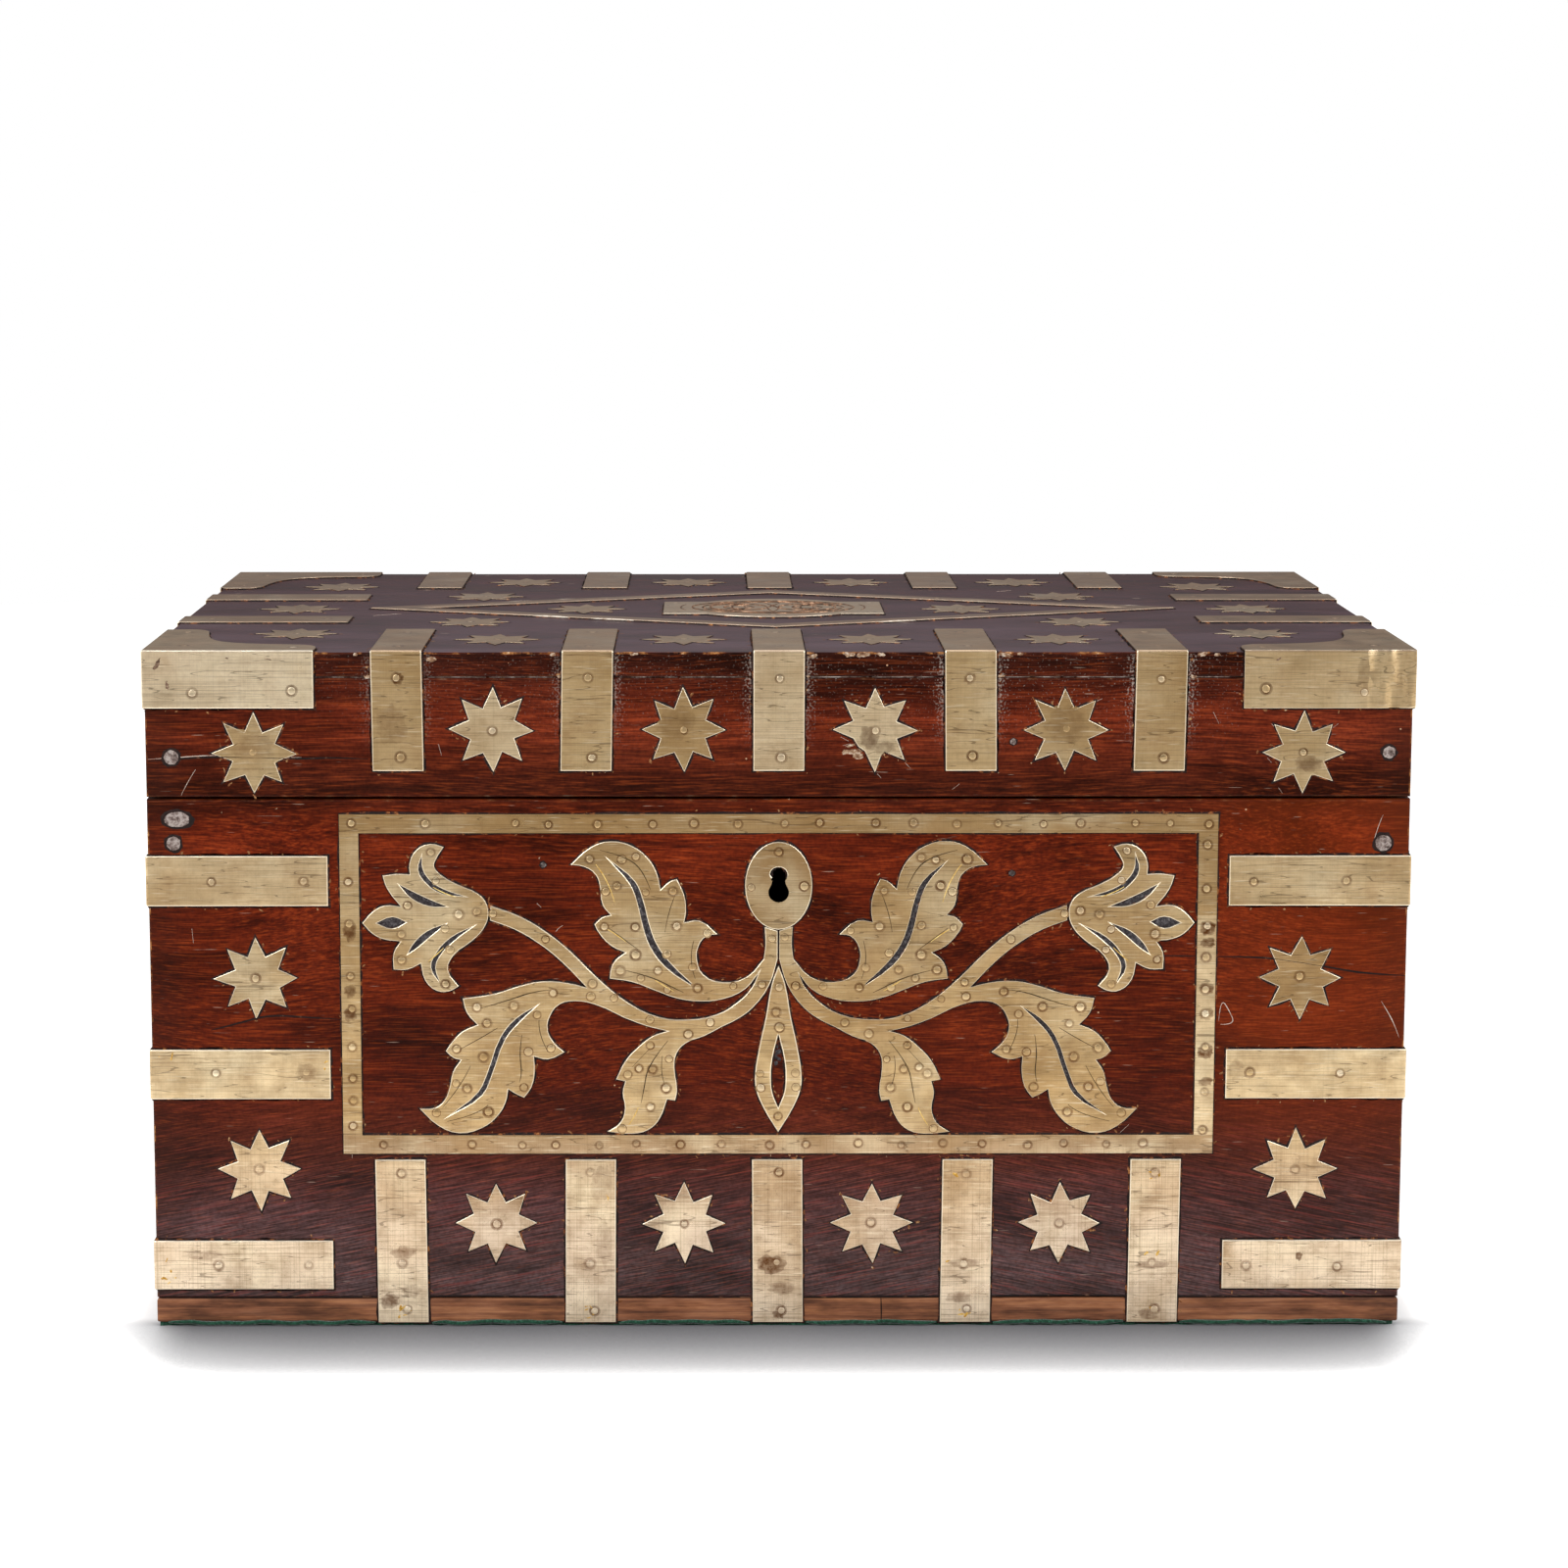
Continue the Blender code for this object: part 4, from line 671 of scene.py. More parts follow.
# rubbed edges painted pale: partly wear, partly a painted highlight
edge = add_node(tree, "Math", TIMES, {1: 0.68}, {0: rubbed_and_highlit})
layers.append((edge, "#fbf2dc"))
for amount, paint in layers:
    colour = add_node(tree, "Mix", COLOURS, {MIX_B: paint}, {0: amount, MIX_A: colour})

rough = add_node(tree, "MapRange",
                 values={"From Min": 0.3, "From Max": 0.7, "To Min": 0.27, "To Max": 0.46},
                 links={"Value": clouds})
sheet_wave = brass_noise((20, 20, 20), 2.0)
bump = add_node(tree, "Bump", values={"Strength": 0.7, "Distance": 1.6 * MM}, links={"Height": sheet_wave})
bump = add_node(tree, "Bump", values={"Strength": 0.35, "Distance": 0.06 * MM},
                links={"Height": across, "Normal": bump})
shader = add_node(tree, "BsdfPrincipled", values={"Metallic": 0.8},
                  links={"Base Color": colour, "Roughness": rough, "Normal": bump})
add_node(tree, "OutputMaterial", links={"Surface": shader})
print("brass mixed from", len(layers), "layers")

# %% [markdown]
# ## Brass sheets
#
# Each strap, bracket, strip and leaf is a copy of its solid. The solids float a hair above the wood, so
# that they don't overlap it; here the copy is pressed down on to the wood, which also leaves room for
# the pin heads inside the box's size. The free end of each strap is moved sideways a little, because the
# straps were laid by eye. The rim of each sheet is then bevelled, because a sharp rim catches no light
# and the real one is a bright line; the bevel's faces are also marked to be painted pale, partly as
# rubbed wear and partly as a painted highlight. On the lid's top the brass is painted darker, as shade,
# and darker still towards the rear, and its rims keep little of that painted highlight.

# %% Sheets pressed on to the wood
SEAT_GAP = 0.3 * MM
SHEET = 0.8 * MM
RIM = 0.42 * MM
LID_STRAP_HELD = 20 * MM
FOOT_STRAP_HELD = 40 * MM
MOST_SWAY = 0.7
random.seed(8)


def pressed_sheet(node):
    """Copy of a brass solid, moved on to the wood under it, with a strap's free end laid by eye."""
    bm = solid_copy(node)
    for vert in bm.verts:
        co = vert.co
        if abs(co.x) - HALF_WIDTH > SEAT_GAP * 0.9:
            co.x -= math.copysign(SEAT_GAP, co.x)
        if abs(co.y) - HALF_DEPTH > SEAT_GAP * 0.9:
            co.y -= math.copysign(SEAT_GAP, co.y)
        if co.z - WOOD_TOP > SEAT_GAP * 0.9:
            co.z -= SEAT_GAP
    hand = random.Random(node)
    sway = hand.uniform(-MOST_SWAY, MOST_SWAY) * MM
    if "front_strap" in node:
        free_end = [v for v in bm.verts if v.co.z < WOOD_TOP - LID_STRAP_HELD]
    elif "foot_strap" in node:
        free_end = [v for v in bm.verts if v.co.z > FOOT_STRAP_HELD]
    else:
        free_end = []
    for vert in free_end:
        vert.co.x += sway
    return bm


def is_outer(vert):
    """True for a corner on a sheet's outer face."""
    return height_over_wood(vert.co) > 0.2 * MM


def soften_rim(bm, tone_at, rim=RIM):
    """Bevel a sheet's outer rim, and give each face the tone that tone_at gives for its centre."""
    tones = bm.faces.layers.float.new("tone")
    rub_highlights = bm.faces.layers.float.new("rubbed_and_highlit")
    edges = [e for e in bm.edges if len(e.link_faces) == 2 and e.calc_face_angle() > math.radians(50)
             and all(is_outer(v) for v in e.verts)]
    made = bmesh.ops.bevel(bm, geom=edges, offset=rim, offset_type="OFFSET", segments=2, profile=0.5,
                           affect="EDGES", clamp_overlap=True, material=-1)
    # the bevel's faces are marked for pale rims: rubbed wear and a painted highlight
    for face in made["faces"]:
        face[rub_highlights] = 1.0
    for face in bm.faces:
        middle = face.calc_center_median()
        face[tones] = tone_at(middle)
        # painted shade: faces on the lid's top are painted darker, most at the rear, and keep little of the
        # rims' painted highlight
        if middle.z > WOOD_TOP and abs(middle.x) < HALF_WIDTH - MM and abs(middle.y) < HALF_DEPTH - MM:
            face[tones] *= 0.7 if middle.y < 0 else 0.5
            face[rub_highlights] *= 0.15


SHEET_TONES = [("lid_bracket_front_left", 1.0), ("lid_bracket_front_right", 0.64), ("lid_bracket", 0.5),
               ("lid_front_strap_1", 0.64), ("lid_front_strap_3", 0.76), ("lid_front_strap_5", 0.52),
               ("lid_front_strap", 0.68), ("lid_rear_strap", 0.35), ("lid_left_end", 0.35),
               ("lid_right_end", 0.35), ("lozenge_frame", 0.1), ("lid_medallion", 1.5),
               ("corner_strap_low", 0.5), ("corner_strap", 0.72), ("foot_strap_2", 0.36),
               ("foot_strap", 0.5), ("escutcheon", 0.26), ("pendant", 0.5), ("spray", 0.48),
               ("tulip", 0.54)]
FRAME_TONES = {"top": 0.36, "left": 0.46, "right": 0.38, "mended": 0.74, "bottom": 0.22}
FRAME_WIDTH = 6.6 * MM
MEND = 147.8 * MM


def frame_part(co):
    """Which strip of the panel frame a point is on."""
    low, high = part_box("panel_frame")
    if co.z > high.z - FRAME_WIDTH:
        return "top"
    if co.z < low.z + FRAME_WIDTH:
        return "bottom"
    if co.x < 0:
        return "left"
    return "mended" if co.z < MEND else "right"


def cut_frame(bm):
    """Cut the panel frame where its strips meet, and where one was mended."""
    low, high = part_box("panel_frame")
    for level in (low.z + FRAME_WIDTH, high.z - FRAME_WIDTH, MEND):
        bmesh.ops.bisect_plane(bm, geom=all_parts(bm), plane_co=(0, 0, level), plane_no=(0, 0, 1))


def beat_corner(bm):
    """Shallow upright folds beaten into the right end of a bracket's front."""
    start = HALF_WIDTH - 16 * MM
    for step in range(27):
        bmesh.ops.bisect_plane(bm, geom=all_parts(bm), plane_co=(start + 0.6 * step * MM, 0, 0),
                               plane_no=(1, 0, 0))
    for step in range(1, 6):
        bmesh.ops.bisect_plane(bm, geom=all_parts(bm), plane_co=(0, 0, WOOD_TOP - step * 3.5 * MM),
                               plane_no=(0, 0, 1))
    for vert in bm.verts:
        share = (vert.co.x - start) / (HALF_WIDTH - start)
        if -vert.co.y - HALF_DEPTH > 0.5 * SHEET and share > 0:
            drop = (WOOD_TOP - vert.co.z) / (20 * MM)
            folds = 0.36 * math.sin(share * 10 + drop * 2) + 0.08 * math.sin(share * 23 - drop * 5)
            vert.co.y += (0.2 + folds) * min(1, share * 4) * MM
    for face in bm.faces:
        face.smooth = all(-v.co.y - HALF_DEPTH > 0.5 * SHEET and v.co.x > start - MM for v in face.verts)


def wear_keyhole(bm):
    """Pinch the keyhole at its waist and open its head, as a key wears it."""
    hole = [v for v in bm.verts if abs(v.co.x) < 5 * MM and abs(v.co.z - KEYHOLE) < 8 * MM]
    sides = {e for v in hole for e in v.link_edges if e.calc_length() > 3 * MM and e.other_vert(v) in hole}
    bmesh.ops.subdivide_edges(bm, edges=list(sides), cuts=5)
    for vert in bm.verts:
        level = (vert.co.z - KEYHOLE) / (6 * MM)
        if abs(vert.co.x) < 5 * MM and abs(level) < 1.3:
            pinch = 0.22 * max(0, 1 - abs(level - 0.2) / 0.4)
            vert.co.x *= 1 - pinch + (0.14 if level > 0.5 else 0)


LID_SHEETS = sorted(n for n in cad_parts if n.startswith("lid_") and ("strap" in n or "bracket" in n))
LID_SHEETS += ["lozenge_frame", "lid_medallion"]
BOX_SHEETS = sorted(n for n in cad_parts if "corner_strap" in n or "foot_strap" in n)
BOX_SHEETS += ["panel_frame", "escutcheon", "pendant", "left_spray", "right_spray", "left_tulip",
               "right_tulip"]
sheet_pieces = {}
for body, nodes in (("lid", LID_SHEETS), ("box", BOX_SHEETS)):
    for node in nodes:
        bm = pressed_sheet(node)
        if node == "panel_frame":
            cut_frame(bm)
            soften_rim(bm, lambda co: FRAME_TONES[frame_part(co)])
        else:
            if node == "lid_bracket_front_right":
                beat_corner(bm)
            if node == "escutcheon":
                wear_keyhole(bm)
            tone = next(value for part, value in SHEET_TONES if part in node) + random.uniform(-0.06, 0.06)
            soften_rim(bm, lambda co: tone)
        sheet_pieces[node] = add_piece(f"{node}_brass", bm, brass, body, [node])
print("brass sheets:", len(sheet_pieces))

# %% [markdown]
# ## Straps round the rear corners
#
# The front corners have three straps each, which run round on to the sides. The rear corners are bound
# the same way. Those straps are the front ones mirrored, so they are made from the same solids.

# %% Rear corner straps
def mirrored_strap(side, level):
    """A front corner strap turned into a rear one."""
    bm = pressed_sheet(f"{side}_corner_strap_{level}")
    bmesh.ops.scale(bm, vec=(1, -1, 1), verts=bm.verts)
    bmesh.ops.reverse_faces(bm, faces=bm.faces)
    return bm


REAR_STRAPS = [(side, level) for side in ("left", "right") for level in ("low", "middle", "high")]
for side, level in REAR_STRAPS:
    bm = mirrored_strap(side, level)
    tone = random.uniform(0.5, 0.7)
    soften_rim(bm, lambda co: tone)
    name = f"{side}_rear_corner_strap_{level}"
    sheet_pieces[name] = add_piece(name, bm, brass, "box")
print("brass sheets with the rear corners:", len(sheet_pieces))

# %% [markdown]
# ## Stars
#
# Each star is an eight-pointed plate with one point up, let into the wood until it is almost flush. It
# starts as a circle of sixteen corners; every second corner is drawn in to make the valleys, and each is
# moved a little, because the stars were cut by hand. The plate is then extruded and its rim bevelled.
# One star on the lid has lost a tip.

# %% Cut stars
STAR_RADIUS = 14.8 * MM
STAR_VALLEY = 0.565
STAR_HEIGHT = 0.3 * MM
star_blanks = {"lid": [], "box": []}


def add_star(group, body, side, along, up, tone, radius=STAR_RADIUS, lost_tip=None):
    """One hand-cut star on a side of the box. lost_tip is the bearing of a missing tip, in degrees."""
    bm = bmesh.new()
    bmesh.ops.create_circle(bm, cap_ends=True, segments=16, radius=1)
    for vert in bm.verts:
        bearing = math.atan2(vert.co.y, vert.co.x)
        is_tip = round(bearing / (math.pi / 8)) % 2 == 0
        reach = radius * (1.0 if is_tip else STAR_VALLEY) + random.uniform(-0.5, 0.5) * MM
        if lost_tip is not None and is_tip and abs(bearing - math.radians(lost_tip)) < 0.2:
            reach = radius * 0.55
        bearing += random.uniform(-0.03, 0.03)
        vert.co = (reach * math.cos(bearing), reach * math.sin(bearing), 0)
    lifted = bmesh.ops.extrude_face_region(bm, geom=bm.faces[:])["geom"]
    raised = [v for v in lifted if isinstance(v, bmesh.types.BMVert)]
    bmesh.ops.translate(bm, verts=raised, vec=(0, 0, STAR_HEIGHT))
    bmesh.ops.recalc_face_normals(bm, faces=bm.faces)
    bmesh.ops.transform(bm, matrix=SIDES[side] @ Matrix.Translation((along, up, 0)), verts=bm.verts)
    star_blanks[body].append(bm.copy())
    tone += random.uniform(-0.05, 0.05)
    soften_rim(bm, lambda co: tone, 0.22 * MM)
    pour(group, bm)


def pour(group, bm):
    """Move a finished shape into a group of shapes."""
    mesh = bpy.data.meshes.new("loose shape")
    bm.to_mesh(mesh)
    bm.free()
    group.from_mesh(mesh)
    bpy.data.meshes.remove(mesh)


STRAP_GAPS = [-99, -33, 33, 99]
TOP_STARS = [(x, y) for x in STRAP_GAPS for y in (-92.4, 92.4)]
TOP_STARS += [(x * s, y) for x, y in ((112, -41.4), (112, 41.4), (171.9, -76), (171.9, 76))
              for s in (-1, 1)]
TOP_STARS += [(x * s, 0) for x in (71, 179.9) for s in (-1, 1)]
LID_STARS = [(x, 213) for x in STRAP_GAPS]
LID_END_STARS = [(x, 204.95) for x in (-181.4, 181.4)]
LID_STAR_TONES = [0.8, 0.48, 0.82, 0.42]
LID_END_TONES = [0.58, 0.58]
BODY_STARS = [(x, 37.5) for x in STRAP_GAPS] + [(x, z) for x in (-181.9, 181.9) for z in (56.9, 125.6)]
BODY_STAR_TONES = {37.5: 0.2, 56.9: 0.6, 125.6: 0.28}
BROKEN_STAR = 33

top_group = bmesh.new()
for x, y in TOP_STARS:
    add_star(top_group, "lid", "top", x * MM, y * MM, 0.74)
rail_group = bmesh.new()
for (x, z), tone in zip(LID_STARS, LID_STAR_TONES):
    add_star(rail_group, "lid", "front", x * MM, z * MM, tone, lost_tip=-135 if x == BROKEN_STAR else None)
for (x, z), tone in zip(LID_END_STARS, LID_END_TONES):
    add_star(rail_group, "lid", "front", x * MM, z * MM, tone, radius=14.55 * MM)
body_group = bmesh.new()
for x, z in BODY_STARS:
    add_star(body_group, "box", "front", x * MM, z * MM, BODY_STAR_TONES[z])
star_pieces = [
    add_piece("lid_top_stars", top_group, brass, "lid"),
    add_piece("lid_front_stars", rail_group, brass, "lid"),
    add_piece("body_front_stars", body_group, brass, "box"),
]
print("stars:", sum(len(blanks) for blanks in star_blanks.values()))

# %% [markdown]
# ## Grime lines and chips
#
# Old wax and dirt fill the corner between each sheet and the wood, so every sheet has a thin dark
# outline, and beside it the polish has chipped down to orange wood. The outline is modelled: the side
# walls of a sheet are copied, their feet are pushed outward by about half a millimetre, and the sloping
# ribbon is given a thickness. Long edges are divided first, so that the line wavers. Chips are thin
# flakes of irregular outline, scattered along the feet of the ribbon. Neither reaches below the floor.

# %% Dark wax and chipped polish along every sheet
def speckled(name, grain_mm, stops, roughness=0.7):
    """Dull finish that varies between a few colours."""
    material, tree = start_finish(name)
    spot = add_node(tree, "TexCoord").outputs["Object"]
    grit = add_node(tree, "TexNoise",
                    values={"Scale": 1 / (grain_mm * MM), "Detail": 4.0, "Roughness": 0.7},
                    links={"Vector": spot})
    colour = add_node(tree, "ValToRGB", links={0: grit}, stops=stops)
    shader = add_node(tree, "BsdfPrincipled", values={"Roughness": roughness, "Specular IOR Level": 0.2},
                      links={"Base Color": colour})
    add_node(tree, "OutputMaterial", links={"Surface": shader})
    return material


WAX = speckled("dark wax and dirt", 2.6,
               [(0.42, "#140b0a"), (0.56, "#2a1510"), (0.63, "#7a4522"), (0.74, "#a8753f")])
CHIPPED = speckled("chipped polish", 1.6,
                   [(0.35, "#4e2512"), (0.5, "#7a4a28"), (0.6, "#a17a50"), (0.7, "#cfc0ac")])


def add_flake(group, place, size, slew=math.pi):
    """Thin long flake of irregular outline, turned by up to slew."""
    squash = Matrix.Diagonal((random.uniform(1.0, 2.2), random.uniform(0.35, 0.8), 1, 1))
    turn = Matrix.Rotation(random.uniform(-slew, slew), 4, "Z")
    made = bmesh.ops.create_cone(group, cap_ends=True, segments=9, radius1=size, radius2=size * 0.9,
                                 depth=0.06 * MM, matrix=place @ turn @ squash)["verts"]
    for vert in made:
        vert.co += Vector([random.uniform(-0.4, 0.4) * size * (0 if abs(axis) > 0.5 else 1)
                           for axis in place.col[2].xyz])


FLOOR_GAP = 0.15 * MM
LOWEST_CHIP = 4 * MM
KEYHOLE_CLEAR = 9 * MM


def add_grime(group, chips, bm, chance):
    """Sloping ribbon of wax round a seated sheet, and chips beside it."""
    walls = [f for f in bm.faces if len({is_outer(v) for v in f.verts}) == 2]
    bmesh.ops.delete(bm, geom=list(set(bm.faces) - set(walls)), context="FACES")
    for _ in range(5):
        long_edges = [e for e in bm.edges if e.calc_length() > 4 * MM]
        if long_edges:
            bmesh.ops.subdivide_edges(bm, edges=long_edges, cuts=1, use_grid_fill=True)
    bm.normal_update()
    keyhole = SIDES["front"] @ Vector((0, KEYHOLE, 0))
    moves = []
    for vert in bm.verts:
        if is_outer(vert):
            moves.append(-0.4 * height_over_wood(vert.co) * outward_axis(vert.co))
        else:
            moves.append(vert.normal * min(vert.calc_shell_factor(), 1.6) * random.uniform(0.25, 0.85) * MM)
            chipped = random.random() < chance
            if chipped and (vert.co - keyhole).length > KEYHOLE_CLEAR and vert.co.z > LOWEST_CHIP:
                spread = vert.normal * random.uniform(0.2, 1.6) * MM
                face_out = Vector((0, 0, 1)).rotation_difference(outward_axis(vert.co)).to_matrix().to_4x4()
                add_flake(chips, Matrix.Translation(vert.co + spread) @ face_out,
                          random.uniform(0.15, 0.55) * MM)
    for vert, move in zip(bm.verts, moves):
        vert.co += move
        vert.co.z = max(vert.co.z, FLOOR_GAP)
    bmesh.ops.solidify(bm, geom=bm.faces[:], thickness=0.1 * MM)
    pour(group, bm)


chip_groups = {"lid": bmesh.new(), "box": bmesh.new()}
for body, nodes in (("lid", LID_SHEETS), ("box", BOX_SHEETS)):
    group = bmesh.new()
    seated = [pressed_sheet(node) for node in nodes]
    if body == "box":
        seated += [mirrored_strap(side, level) for side, level in REAR_STRAPS]
    for bm in seated:
        add_grime(group, chip_groups[body], bm, 0.3)
    for bm in star_blanks[body]:
        add_grime(group, chip_groups[body], bm, 0.4)
    add_piece(f"{body}_grime_lines", group, WAX, body)
    print(f"{body}: wax round {len(seated)} sheets and {len(star_blanks[body])} stars")

# %% [markdown]
# ## Chips of the edges
#
# The lid's front edge is the most knocked about: raw wood and pale filler show beside the straps and
# along the arris, and a patch beside the broken star. The body has a few pale specks, and the brackets
# have brown spots. These are larger flakes, placed where the photograph shows them.

# %% Larger chips
EDGE_CHIPS = [(-120, 237.6, 1.3), (-78, 239.2, 0.8), (-70, 239.4, 0.6), (-50, 239.4, 0.8),
              (11.5, 238.6, 1.0), (24, 239.1, 1.1), (29, 239.0, 1.2), (35, 239.2, 0.9), (72, 239.2, 0.8),
              (78, 238.9, 1.2), (83, 239.3, 0.7), (146, 239.2, 0.9), (151, 239.0, 0.7), (-146, 239.2, 0.7),
              (62, 237.2, 0.8), (-142, 231.5, 0.7), (143, 231.4, 0.7), (76.5, 231.6, 0.7),
              (-75.8, 231.5, 0.6), (10, 231.5, 0.7)]
STAR_PATCH = [(25.6, 205.2, 2.0), (27.4, 203.8, 1.4), (24.8, 207.4, 1.0)]
FILLER = speckled("raw wood and pale filler", 1.3,
                  [(0.35, "#563422"), (0.48, "#8a6a50"), (0.58, "#b39c86"), (0.68, "#d4c8b8")])
BODY_SPECKS = [(-192.9, 184.1, 0.3), (-174, 185.4, 0.3), (160, 178, 0.25), (-83, 168, 0.3),
               (96, 180.5, 0.25)]
RUST = speckled("brown corrosion on brass", 1.2, [(0.35, "#3d2a20"), (0.5, "#6e5544"), (0.65, "#a08a74")])
BRACKET_SPOTS = [(-211, 228.6, 1.5), (-214, 236, 1.2), (-176, 237.6, 0.6), (-190, 238, 0.5),
                 (172, 237.6, 0.6)]


def lay_flakes(group, spots, lift, slew=math.pi):
    """Flakes on the front at (along, up, size), in millimetres."""
    for along, up, size in spots:
        add_flake(group, SIDES["front"] @ Matrix.Translation((along * MM, up * MM, lift)), size * MM, slew)


for name, spots, lift, slew, finish, body in (
        ("lid_edge_chips", EDGE_CHIPS + STAR_PATCH, 0, 0.2, FILLER, "lid"),
        ("body_specks", BODY_SPECKS, 0, math.pi, FILLER, "box"),
        ("bracket_spots", BRACKET_SPOTS, SHEET, math.pi, RUST, "lid")):
    group = bmesh.new()
    lay_flakes(group, spots, lift, slew)
    add_piece(name, group, finish, body)
for body, group in chip_groups.items():
    print(f"{body}: chip faces", len(group.faces))
    add_piece(f"{body}_chips", group, CHIPPED, body)

# %% [markdown]
# ## Filled slots
#
# The mid-veins of the leaves and the petals are slots cut through the brass. Old grey polish has set in
# them. Each slot's outline is found on the sheet itself: the rims of its outer face fall into closed
# loops, the widest loop is the outline, and the others are slots. They are filled and sunk a little.

# %% Old polish in the slots
OLD_POLISH = speckled("set grey polish", 1.1,
                      [(0.4, "#1f1a1c"), (0.55, "#3b3739"), (0.66, "#5f5b5c"), (0.75, "#a39c94")])


def closed_loops(edges):
    """Edges sorted into connected loops, the widest last."""
    def width(loop):
        places = [e.verts[0].co.x for e in loop]
        return max(places) - min(places)

    left = set(edges)
    loops = []
    while left:
        loop = [left.pop()]
        for edge in loop:
            found = {e for v in edge.verts for e in v.link_edges} & left
            left -= found
            loop.extend(found)
        loops.append(loop)
    return sorted(loops, key=width)


group = bmesh.new()
slot_count = 0
for node in ("left_spray", "right_spray", "left_tulip", "right_tulip"):
    bm = pressed_sheet(node)
    hidden = [f for f in bm.faces if not all(is_outer(v) for v in f.verts)]
    bmesh.ops.delete(bm, geom=hidden, context="FACES")
    slots = closed_loops([e for e in bm.edges if e.is_boundary])[:-1]
    filled = bmesh.ops.edgeloop_fill(bm, edges=[e for loop in slots for e in loop])["faces"]
    bmesh.ops.delete(bm, geom=list(set(bm.faces) - set(filled)), context="FACES")
    bmesh.ops.recalc_face_normals(bm, faces=bm.faces)
    bmesh.ops.translate(bm, verts=bm.verts, vec=(0, 0.6 * SHEET, 0))
    bmesh.ops.solidify(bm, geom=bm.faces[:], thickness=0.2 * MM)
    slot_count += len(slots)
    pour(group, bm)
PENDANT_POLISH = [(-0.4, 101, 0.7), (-0.3, 99, 0.9), (-0.5, 97, 1.0), (-0.9, 95, 0.7)]
lay_flakes(group, PENDANT_POLISH, 0.05 * MM)
add_piece("slot_filling", group, OLD_POLISH, "box")
print("slots filled:", slot_count)

# %% [markdown]
# ## Pins
#
# Every sheet is held by small brass pins, hammered flat and a little uneven, each in a brown stain. A pin
# is a squashed ball with few faces, because there are hundreds. Its place is drawn on a side of the box.
# A ray sent in from outside finds the brass there and gives the height of the head, so a pin can't float
# and can't land on bare wood. The stain is a thin disc of the same brass with the same tone, brown in the
# middle and clean at its rim, so that it fades out. It is drawn in where it would overhang the brass.

# %% Places of the pins
PIN_RADIUS = 1.38 * MM
pins = {"lid": [], "box": []}


def mark_pins(body, side, spots, size=1.0):
    """Note pin places on a side, in millimetres along and up."""
    pins[body] += [(side, along * MM, up * MM, size) for along, up in spots]


HALF_W = HALF_WIDTH / MM
HALF_D = HALF_DEPTH / MM
TOP = WOOD_TOP / MM
STRAPS = [-132, -66, 0, 66, 132]
UPPER_PIN = TOP - 9
LOWER_PIN = TOP - 36.5
CORNER_LEVELS = (22, 91.8, 160)
for x in STRAPS:
    for side in ("front", "back"):
        mark_pins("lid", side, [(x, UPPER_PIN), (x + 1, LOWER_PIN)])
    mark_pins("lid", "top", [(x, y * s) for y in (HALF_D - 11, HALF_D - 50) for s in (-1, 1)])
    mark_pins("box", "front", [(x, 55.6), (x - 0.5, 23), (x + 1, 6)])
for y in (-36, 36):
    for side in ("left", "right"):
        mark_pins("lid", side, [(y, UPPER_PIN), (y, LOWER_PIN)])
    mark_pins("lid", "top", [(x * s, y) for x in (HALF_W - 11, HALF_W - 54) for s in (-1, 1)])
for s in (-1, 1):
    for side, end in (("front", HALF_W), ("back", HALF_W), ("left", HALF_D), ("right", HALF_D)):
        mark_pins("lid", side, [(s * (end - 17), TOP - 14), (s * (end - 51), TOP - 13)])
        mark_pins("box", side, [(s * (end - inset), z) for inset in (22, 54) for z in CORNER_LEVELS])
    for t in (-1, 1):
        mark_pins("lid", "top",
                  [(s * (HALF_W - a), t * (HALF_D - b)) for a, b in ((51, 8), (8, 51), (12, 12))])
mark_pins("lid", "top", TOP_STARS, 0.85)
mark_pins("lid", "front", LID_STARS + LID_END_STARS, 0.9)
mark_pins("box", "front", BODY_STARS)

# strips of the lozenge and plate in its middle
tip_x, tip_y = (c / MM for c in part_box("lozenge_frame")[1].xy)
lean = math.hypot(tip_x, tip_y)
half_strip = 3.5
for step in range(1, 7):
    share = step / 7
    x = tip_x * share - half_strip * tip_y / lean
    y = tip_y * (1 - share) - half_strip * tip_x / lean
    mark_pins("lid", "top", [(x * s, y * t) for s in (-1, 1) for t in (-1, 1)], 0.8)
mark_pins("lid", "top", [(37 * s, 15 * t) for s in (-1, 1) for t in (-1, 1)] + [(0, 24), (0, -24)])

# strips of the panel frame, each pin where the photograph shows it
low, high = (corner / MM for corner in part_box("panel_frame"))
TOP_STRIP = [-148.3, -122.6, -91.4, -80, -63, -43.6, -29.5, -14, 1.7, 13.8, 33.8, 46.7, 61.4, 75.8, 92,
             104.6, 123.5, 135.4, 149.3]
LOW_STRIP = [-138, -107, -90, -78, -62.5, -50, -34, -20, -3, 10, 28.4, 43, 58, 71.6, 87.3, 100.5, 114.7,
             127.7]
LEFT_STRIP = [160, 145, 126.5, 114.5, 101.4, 90, 82, 73]
RIGHT_STRIP = [173, 157.4, 144, 133, 121.7, 112.5, 100.8, 84.7, 71]
inset = FRAME_WIDTH / MM / 2
mark_pins("box", "front",
          [(x, high.z - inset) for x in TOP_STRIP] + [(x, low.z + inset) for x in LOW_STRIP], 0.9)
upright_pins = [(low.x + inset, z) for z in LEFT_STRIP] + [(high.x - inset, z) for z in RIGHT_STRIP]
mark_pins("box", "front", upright_pins, 0.9)

